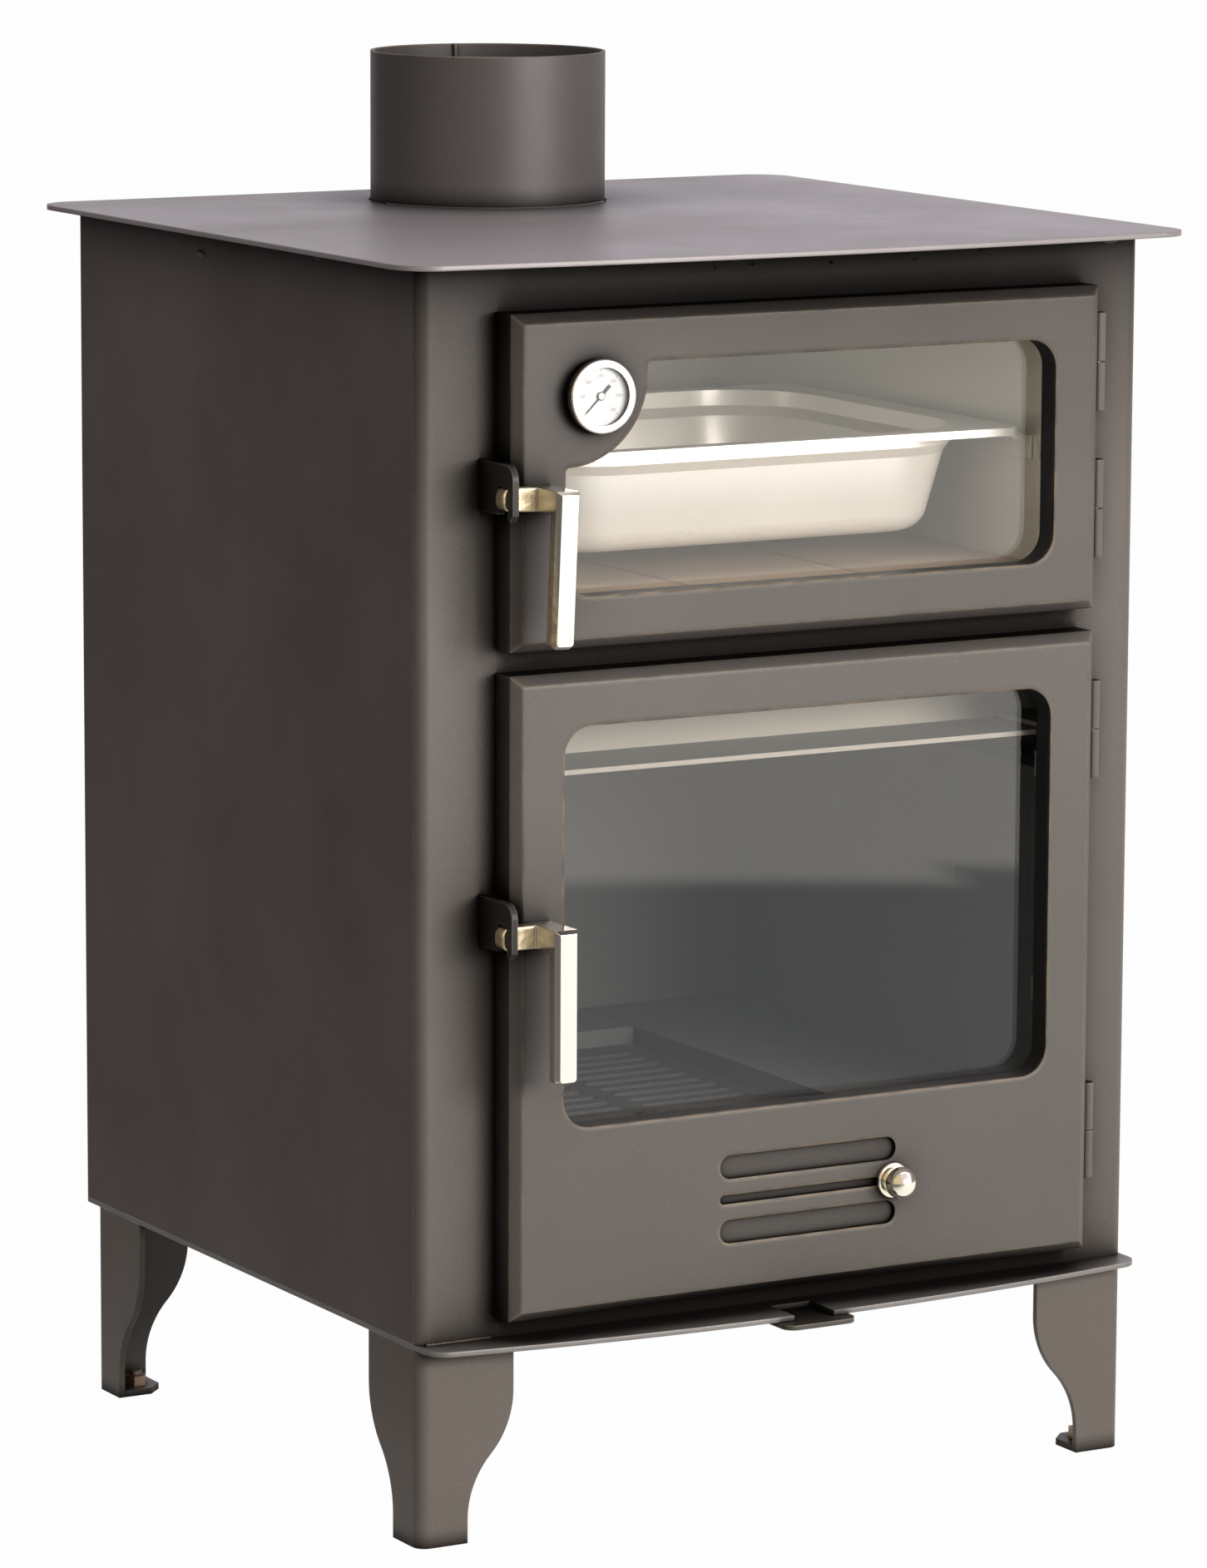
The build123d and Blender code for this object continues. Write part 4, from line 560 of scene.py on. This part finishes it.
# Each leg is folded from 4 mm plate with an ogee cut in both flanges, and carries a welded
# tab with a plain zinc-plated stud and nut that has gone brown.
NUT_STEEL = (0.34, 0.25, 0.17, 1)
STEEL_METALLIC = 0.85


def bare_steel(name, colour, dark, roughness):
    """Plain sheet or turned steel with faint mottling."""
    made, tree, shader = material(name)
    place = place_on(tree)
    patches = spread(tree, noise(tree, place, 40.0, detail=5.0, roughness=0.6), 0.35, 0.7)
    fine = noise(tree, place, GRAIN_SCALE, detail=2.0)
    tree.links.new(blend_colour(tree, patches, colour, dark), shader.inputs["Base Color"])
    shader.inputs["Metallic"].default_value = STEEL_METALLIC
    mottled = spread(tree, fine, 0.3, 0.7, roughness - 0.05, roughness + 0.08)
    tree.links.new(mottled, shader.inputs["Roughness"])
    dimples = raised(tree, fine, strength=0.15, distance=0.0001, normal=rounded_normal(tree, 0.0004))
    tree.links.new(dimples, shader.inputs["Normal"])
    return made


leg_paint = paint("leg_paint", (0.130, 0.114, 0.100, 1), (0.108, 0.094, 0.081, 1), shine=0.35, reach=0.012)
finish_nodes(leg_paint, "leg_front_left", "leg_front_right", "leg_rear_left", "leg_rear_right", "foot_plates")
nut_steel = bare_steel("nut_steel", NUT_STEEL, (0.16, 0.11, 0.08, 1), roughness=0.45)
finish_nodes(nut_steel, "foot_bolts")


# The hinges are weld-on barrels, half of each on the door and half on the casing. They are
# painted with the casing and turn on plain steel pins that are pressed in.
PIN_STEEL = (0.50, 0.49, 0.47, 1)

pin_steel = bare_steel("pin_steel", PIN_STEEL, (0.32, 0.31, 0.29, 1), roughness=0.3)
finish_nodes(pin_steel, "hinge_pins")
finish_nodes(casing_paint, "frame_hinge_barrels", "oven_door_barrels", "fire_door_barrels")


# The catch plates are laser-cut from 4 mm plate and welded to the front, their cut edges
# rubbed by the latch arms and lightened by a painted highlight.
catch_paint = paint("catch_paint", (0.036, 0.032, 0.029, 1), (0.026, 0.023, 0.021, 1), shine=0.30,
                    edge=(0.34, 0.31, 0.27, 1), edge_radius=0.0010)
finish_nodes(catch_paint, "catch_plates")


# The doors are mitred sheet pans in the casing's paint, and the two air slides, deep behind
# their slots, have a darker copy of it as painted shade. The deep sleeve behind each window, the
# seal channels, guides and rails are sprayed matt black.
DOOR_EDGE = 0.0040

door_paint = paint("door_paint", (0.103, 0.094, 0.086, 1), (0.090, 0.081, 0.074, 1), shine=0.38,
                   edge_radius=DOOR_EDGE)
# The oven door is darker towards its top: a painted shadow under the hob.
oven_door_paint = paint("oven_door_paint", (0.092, 0.082, 0.074, 1), (0.081, 0.072, 0.065, 1), shine=0.35,
                        edge_radius=DOOR_EDGE, shadow_band=(0.60, 0.92))
# Painted shade: the air slides lie deep behind the door slots and are painted darker.
slide_paint = paint("slide_paint", (0.070, 0.063, 0.056, 1), (0.058, 0.052, 0.046, 1), shine=0.35)
finish_nodes(door_paint, "fire_door_panel")
finish_nodes(oven_door_paint, "oven_door_panel")
finish_nodes(slide_paint, "air_slide", "bottom_air_slide")


def matt_paint(name, colour, roughness):
    """A matt dark surface with a fine tooth, sprayed or cast."""
    made, tree, shader = material(name)
    grain = noise(tree, place_on(tree), 1200.0, detail=2.0)
    brighter = toned(colour, 1.6)
    tree.links.new(blend_colour(tree, grain, colour, brighter), shader.inputs["Base Color"])
    shader.inputs["Roughness"].default_value = roughness
    shader.inputs["Specular IOR Level"].default_value = 0.2
    tree.links.new(raised(tree, grain, strength=0.15, distance=0.0002), shader.inputs["Normal"])
    return made


black_paint = matt_paint("black_paint", (0.010, 0.010, 0.010, 1), roughness=0.6)
finish_nodes(black_paint, "oven_window_frame", "fire_window_frame", "oven_seal_channel", "fire_seal_channel",
             "air_slide_guides", "slide_rails")


# The panes are 4 mm clear ceramic glass, cut to the window's outline. They lie on white tape
# and are held from behind by small steel clips and screws.
GLASS_TINT = (0.95, 0.94, 0.92, 1)


def pane_glass(name, tint):
    """Clear flat glass that lets the lamps' light through to what stands behind it."""
    made, tree, shader = material(name)
    shader.inputs["Base Color"].default_value = tint
    shader.inputs["Roughness"].default_value = 0.0
    shader.inputs["IOR"].default_value = 1.5
    shader.inputs["Transmission Weight"].default_value = 1.0
    clear = tree.nodes.new("ShaderNodeBsdfTransparent")
    clear.inputs["Color"].default_value = tint
    light = compute(tree, "MAXIMUM", ray(tree, "Is Shadow Ray"), ray(tree, "Is Diffuse Ray"))
    pane = blend_shader(tree, light, shader.outputs[0], clear.outputs[0])
    tree.links.new(pane, tree.nodes["Material Output"].inputs["Surface"])
    return made


finish_nodes(pane_glass("stove_glass", GLASS_TINT), "oven_glass", "fire_glass")
finish_nodes(pin_steel, "oven_glass_clips", "fire_glass_clips", "oven_clip_screws", "fire_clip_screws",
             "oven_handle_spindle", "fire_handle_spindle")


# Rope and tape are woven white glass fibre. The rope is pressed dry in the channel round each
# door, and the flat tape lies between pane and frame.
FIBRE = (0.78, 0.77, 0.73, 1)


def woven_fibre(name, colour):
    """White glass-fibre braid: a fine crossed weave with soft shade between the yarns."""
    made, tree, shader = material(name)
    place = place_on(tree)
    wave = tree.nodes.new("ShaderNodeTexWave")
    wave.wave_type = "BANDS"
    wave.bands_direction = "DIAGONAL"
    wave.inputs["Scale"].default_value = 260.0
    wave.inputs["Distortion"].default_value = 1.5
    tree.links.new(place, wave.inputs["Vector"])
    shade = toned(colour, 0.6)
    tree.links.new(blend_colour(tree, wave.outputs["Fac"], shade, colour), shader.inputs["Base Color"])
    shader.inputs["Roughness"].default_value = 0.95
    yarns = raised(tree, wave.outputs["Fac"], strength=0.6, distance=0.0006)
    tree.links.new(yarns, shader.inputs["Normal"])
    return made


finish_nodes(woven_fibre("glass_fibre", FIBRE), "oven_rope_seal", "fire_rope_seal", "oven_glass_gasket",
             "fire_glass_gasket")


# The handles are sand-cast brass: the grips are ground and polished bright, and the arms
# keep their rougher, tanned casting skin. The knob is turned from bar.
GRIP_BRASS = (1.0, 0.955, 0.85, 1)
ARM_BRASS = (1.0, 0.87, 0.58, 1)
ARM_END = -0.1918
KNOB_BRASS = (1.0, 0.95, 0.81, 1)
NO_SKIN = -1.0


def polished_brass(name, polished, skin, skin_left_of):
    """Brass that is polished bright, but keeps its casting skin to the left of an x."""
    made, tree, shader = material(name)
    place = place_on(tree)
    waves = noise(tree, place, 160.0, detail=3.0)
    polish = rightward(tree, place, skin_left_of - 0.001, skin_left_of + 0.001)
    tanned = toned(skin, 0.7)
    rough_skin = blend_colour(tree, spread(tree, waves, 0.40, 0.70), skin, tanned)
    tree.links.new(blend_colour(tree, polish, rough_skin, polished), shader.inputs["Base Color"])
    shader.inputs["Metallic"].default_value = 1.0
    tree.links.new(spread(tree, polish, 0, 1, 0.30, 0.16), shader.inputs["Roughness"])
    casting = compute(tree, "MULTIPLY", waves, compute(tree, "SUBTRACT", 1.0, polish))
    dents = raised(tree, casting, strength=0.5, distance=0.0008, normal=rounded_normal(tree, 0.0006))
    tree.links.new(dents, shader.inputs["Normal"])
    return made


finish_nodes(polished_brass("handle_brass", GRIP_BRASS, ARM_BRASS, ARM_END), "oven_handle", "fire_handle")
finish_nodes(polished_brass("knob_brass", KNOB_BRASS, ARM_BRASS, NO_SKIN), "air_knob")


# The oven is a welded box of plain sheet, with ledges for the pan and a floor of pressed
# vermiculite bricks; the pan is pressed from stainless steel.
OVEN_SHEET = (0.72, 0.70, 0.63, 1)
PAN_STEEL = (1.0, 0.985, 0.94, 1)
OVEN_BRICK = (0.37, 0.295, 0.235, 1)


def firebrick(name, colour, fleck, share):
    """Pressed refractory brick, fine-grained, with a share of flecks."""
    made, tree, shader = material(name)
    place = place_on(tree)
    flecks = noise(tree, place, 420.0, detail=3.0, roughness=0.7)
    patches = noise(tree, place, 9.0, detail=3.0)
    darker = toned(colour, 0.86)
    tone = blend_colour(tree, spread(tree, patches, 0.35, 0.7), colour, darker)
    flecked = blend_colour(tree, spread(tree, flecks, 0.55, 0.75, 0, share), tone, fleck)
    tree.links.new(flecked, shader.inputs["Base Color"])
    shader.inputs["Roughness"].default_value = 0.9
    tree.links.new(raised(tree, flecks, strength=0.04, distance=0.0003), shader.inputs["Normal"])
    return made


def smooth_steel(name, colour, roughness, metallic):
    """Pressed satin sheet with broad soft waves and no grain."""
    made, tree, shader = material(name)
    waves = noise(tree, place_on(tree), 14.0, detail=2.0)
    darker = toned(colour, 0.94)
    tree.links.new(blend_colour(tree, waves, colour, darker), shader.inputs["Base Color"])
    shader.inputs["Metallic"].default_value = metallic
    satin = spread(tree, waves, 0.3, 0.7, roughness - 0.03, roughness + 0.03)
    tree.links.new(satin, shader.inputs["Roughness"])
    tree.links.new(rounded_normal(tree, 0.0008), shader.inputs["Normal"])
    return made


oven_sheet = smooth_steel("oven_sheet", OVEN_SHEET, roughness=0.30, metallic=0.3)
finish_nodes(oven_sheet, "oven_liner", "pan_runners")
finish_nodes(firebrick("oven_brick", OVEN_BRICK, (0.36, 0.27, 0.20, 1), share=0.6), "oven_floor_bricks")
finish_nodes(smooth_steel("pan_steel", PAN_STEEL, roughness=0.30, metallic=0.45), "baking_pan")


# The firebox is lined with dark refractory bricks round a cast grate over the ash pan. The
# folded airwash plate under its roof is bare pale sheet whose upward faces, its shelf top, are
# darkened as painted shade, and it runs on to the right as far as the casing.
airwash_low, airwash_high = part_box("airwash_deflector")
AIRWASH_REACH = 0.054
AIRWASH_SHEET = 0.0025
AIRWASH_FRONT = airwash_high.y - AIRWASH_SHEET
AIRWASH_FOOT = airwash_low.z + 0.0037
AIRWASH_HEIGHT = 0.0720
SHELF_THICKNESS = 0.0028
SHELF_DEPTH = AIRWASH_FRONT - airwash_low.y


def plain_coat(name, colour, other, scale, detail, roughness, shine=0.5):
    """An even coat that wanders a little between two colours."""
    made, tree, shader = material(name)
    clouds = noise(tree, place_on(tree), scale, detail)
    tree.links.new(blend_colour(tree, clouds, colour, other), shader.inputs["Base Color"])
    shader.inputs["Roughness"].default_value = roughness
    shader.inputs["Specular IOR Level"].default_value = shine
    return made


hearth_brick = firebrick("hearth_brick", (0.150, 0.155, 0.160, 1), (0.12, 0.12, 0.12, 1), share=0.3)
lining_brick = plain_coat("lining_brick", (0.15, 0.152, 0.155, 1), (0.18, 0.182, 0.185, 1), scale=7.0,
                          detail=3.0, roughness=1.0, shine=0.0)
finish_nodes(hearth_brick, "hearth_bricks")
finish_nodes(lining_brick, "firebrick_linings")
cast_iron = matt_paint("cast_iron", (0.060, 0.060, 0.062, 1), roughness=0.7)
finish_nodes(cast_iron, "grate", "hearth_plate", "ash_pan", "ash_pan_runners")


def top_shaded_sheet(name, clean, top_shade):
    """Pale sheet whose upward faces are darkened as painted shade."""
    made, tree, shader = material(name)
    upward = along(tree, "Z", tree.nodes.new("ShaderNodeNewGeometry").outputs["Normal"])
    # Painted shade: faces turned upward take the dark colour.
    coat = spread(tree, upward, 0.3, 0.7)
    darker = toned(clean, 0.9)
    tone = blend_colour(tree, noise(tree, place_on(tree), 30.0), clean, darker)
    tree.links.new(blend_colour(tree, coat, tone, top_shade), shader.inputs["Base Color"])
    shader.inputs["Roughness"].default_value = 0.6
    return made


# The second colour is the painted shade on the shelf top.
airwash_sheet = top_shaded_sheet("airwash_sheet", (0.37, 0.355, 0.315, 1), (0.065, 0.064, 0.060, 1))
finish_nodes(airwash_sheet, "airwash_deflector")
airwash_wing = begin("airwash_wing", bpy.ops.mesh.primitive_cube_add, size=1.0,
                     scale=(AIRWASH_REACH, AIRWASH_SHEET, AIRWASH_HEIGHT),
                     location=(airwash_high.x + AIRWASH_REACH / 2, AIRWASH_FRONT + AIRWASH_SHEET / 2,
                               AIRWASH_FOOT + AIRWASH_HEIGHT / 2))
bpy.ops.object.transform_apply(location=False, rotation=False, scale=True)
pick(airwash_wing, lambda middle, normal: normal.y < -0.9)
bpy.ops.mesh.bisect(plane_co=(airwash_high.x, AIRWASH_FRONT, AIRWASH_FOOT + SHELF_THICKNESS),
                    plane_no=(0, 0, 1))
pick(airwash_wing, lambda middle, normal: normal.y < -0.9 and middle.z < -0.4 * AIRWASH_HEIGHT)
bpy.ops.mesh.extrude_region_move(TRANSFORM_OT_translate={"value": (0, -SHELF_DEPTH, 0)})
settle(airwash_wing, airwash_sheet, "stove", smooth=False)


# The thermometer is a dark pressed drum let into the oven door's corner, with a pale rolled
# bezel, a white printed dial, a black needle with a white cap, a flat glass and a steel probe.
bezel_low, bezel_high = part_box("thermometer_bezel")
DIAL_MIDDLE = Vector(((bezel_low.x + bezel_high.x) / 2, 0, (bezel_low.z + bezel_high.z) / 2))
DIAL_SHEET = 0.0006
DIAL_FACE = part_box("thermometer_dial")[1].y - DIAL_SHEET
BEZEL_FRONT = bezel_low.y + 0.0001
BEZEL_RADIUS = 0.0190
BEZEL_LIP = 0.0017
BEZEL_DEPTH = 0.0016
DIAL_NUMBERS = ("0", "50", "100", "150", "200", "250", "300")
FIRST_ANGLE = radians(225.0)
ANGLE_STEP = radians(45.0)
FIGURE_SIZE = 0.0026
FIGURE_RING = 0.0118
TICK = (0.0017, 0.00006, 0.0004)
TICK_RING = 0.0152
PRINT_LIFT = 0.00004
TAIL_ANGLE = radians(45.0)
TAIL_LENGTH = 0.0066
TAIL_WIDTH = 0.0015
TAIL_RING = 0.0051
TAIL_LIFT = 0.0008
NEEDLE_SHEET = 0.0003


def two_tone_ring(name, pale, dark, dark_behind):
    """A bright ring whose side, behind a given y, is dark paint."""
    made, tree, shader = material(name)
    place = place_on(tree)
    side = spread(tree, along(tree, "Y", place), dark_behind - 0.0002, dark_behind + 0.0002)
    fine = noise(tree, place, GRAIN_SCALE, detail=2.0)
    tree.links.new(blend_colour(tree, side, pale, dark), shader.inputs["Base Color"])
    tree.links.new(spread(tree, side, 0, 1, 1.0, 0.0), shader.inputs["Metallic"])
    tree.links.new(spread(tree, fine, 0.3, 0.7, 0.22, 0.36), shader.inputs["Roughness"])
    return made


bezel_finish = two_tone_ring("bezel_finish", (0.86, 0.80, 0.71, 1), (0.045, 0.038, 0.032, 1),
                             dark_behind=BEZEL_FRONT + BEZEL_DEPTH / 2)
finish_nodes(bezel_finish, "thermometer_bezel")
finish_nodes(catch_paint, "thermometer_case")
finish_nodes(black_paint, "thermometer_needle")
finish_nodes(pin_steel, "thermometer_stem")
dial_white = plain_coat("dial_white", (0.66, 0.67, 0.68, 1), (0.70, 0.71, 0.72, 1), scale=500.0,
                        detail=2.0, roughness=0.45)
finish_nodes(dial_white, "thermometer_dial")
finish_nodes(pane_glass("dial_glass", (0.97, 0.97, 0.97, 1)), "thermometer_lens")

bezel_lip = begin("bezel_lip", bpy.ops.mesh.primitive_cylinder_add, vertices=96, radius=BEZEL_RADIUS,
                  depth=BEZEL_DEPTH, location=(DIAL_MIDDLE.x, BEZEL_FRONT + BEZEL_DEPTH / 2, DIAL_MIDDLE.z),
                  rotation=(pi / 2, 0, 0))
pick(bezel_lip, lambda middle, normal: abs(normal.z) > 0.9)
bpy.ops.mesh.inset(thickness=BEZEL_LIP, use_individual=True)
bpy.ops.mesh.bridge_edge_loops()
settle(bezel_lip, bezel_finish, "oven_door", smooth=False)

print_grey = plain_coat("print_grey", (0.12, 0.12, 0.13, 1), (0.18, 0.18, 0.19, 1), scale=GRAIN_SCALE,
                        detail=2.0, roughness=0.5)
printed = DIAL_MIDDLE + Vector((0, DIAL_FACE - PRINT_LIFT, 0))
marks = []
for number, words in enumerate(DIAL_NUMBERS):
    angle = FIRST_ANGLE - ANGLE_STEP * number
    outward = Vector((cos(angle), 0, sin(angle)))
    bpy.ops.object.select_all(action="DESELECT")
    bpy.ops.object.text_add()
    figure = bpy.context.active_object
    figure.name = "dial_print"
    figure.data.body = words
    figure.data.size = FIGURE_SIZE
    figure.data.extrude = PRINT_LIFT / 2
    figure.data.align_x = "CENTER"
    figure.data.align_y = "CENTER"
    bpy.ops.object.convert(target="MESH")
    figure.rotation_euler = (pi / 2, 0, 0)
    figure.location = printed + FIGURE_RING * outward
    marks.append(figure)
    tick = begin("dial_print", bpy.ops.mesh.primitive_cube_add, size=1.0, scale=TICK)
    bpy.ops.object.mode_set(mode="EDIT")
    bpy.ops.mesh.select_all(action="SELECT")
    bpy.ops.mesh.bevel(offset=PRINT_LIFT / 2, segments=1)
    bpy.ops.object.mode_set(mode="OBJECT")
    tick.rotation_euler = (0, -angle, 0)
    tick.location = printed + TICK_RING * outward
    marks.append(tick)
settle(joined(marks), print_grey, "oven_door", smooth=False)


def needle_disc(name, made, radius, lift, edge, steps):
    """A small disc on the needle's pivot, its front edge eased."""
    piece = begin(name, bpy.ops.mesh.primitive_cylinder_add, vertices=32, radius=radius, depth=NEEDLE_SHEET,
                  location=(DIAL_MIDDLE.x, DIAL_FACE - lift, DIAL_MIDDLE.z), rotation=(pi / 2, 0, 0))
    pick(piece, lambda middle, normal: normal.z > 0.9)
    bpy.ops.mesh.bevel(offset=edge, segments=steps)
    settle(piece, made, "gauge_pointer", smooth=False)


# A black disc under the white cap, wider than it, stands for the cap's shadow on the dial: a painted shadow
# outline.
needle_disc("cap_shadow_disc", black_paint, radius=0.0026, lift=0.00105, edge=0.0001, steps=1)
needle_disc("needle_cap", dial_white, radius=0.0021, lift=0.00135, edge=0.00015, steps=2)
needle_tail = begin("needle_tail", bpy.ops.mesh.primitive_cube_add, size=1.0,
                    scale=(TAIL_LENGTH, NEEDLE_SHEET, TAIL_WIDTH))
pick(needle_tail, lambda middle, normal: normal.x > 0.9)
bpy.ops.transform.resize(value=(1, 1, 1.35))
bpy.ops.object.mode_set(mode="OBJECT")
needle_tail.rotation_euler = (0, -TAIL_ANGLE, 0)
needle_tail.location = DIAL_MIDDLE + Vector((TAIL_RING * cos(TAIL_ANGLE), DIAL_FACE - TAIL_LIFT,
                                             TAIL_RING * sin(TAIL_ANGLE)))
settle(needle_tail, black_paint, "gauge_pointer", smooth=False)
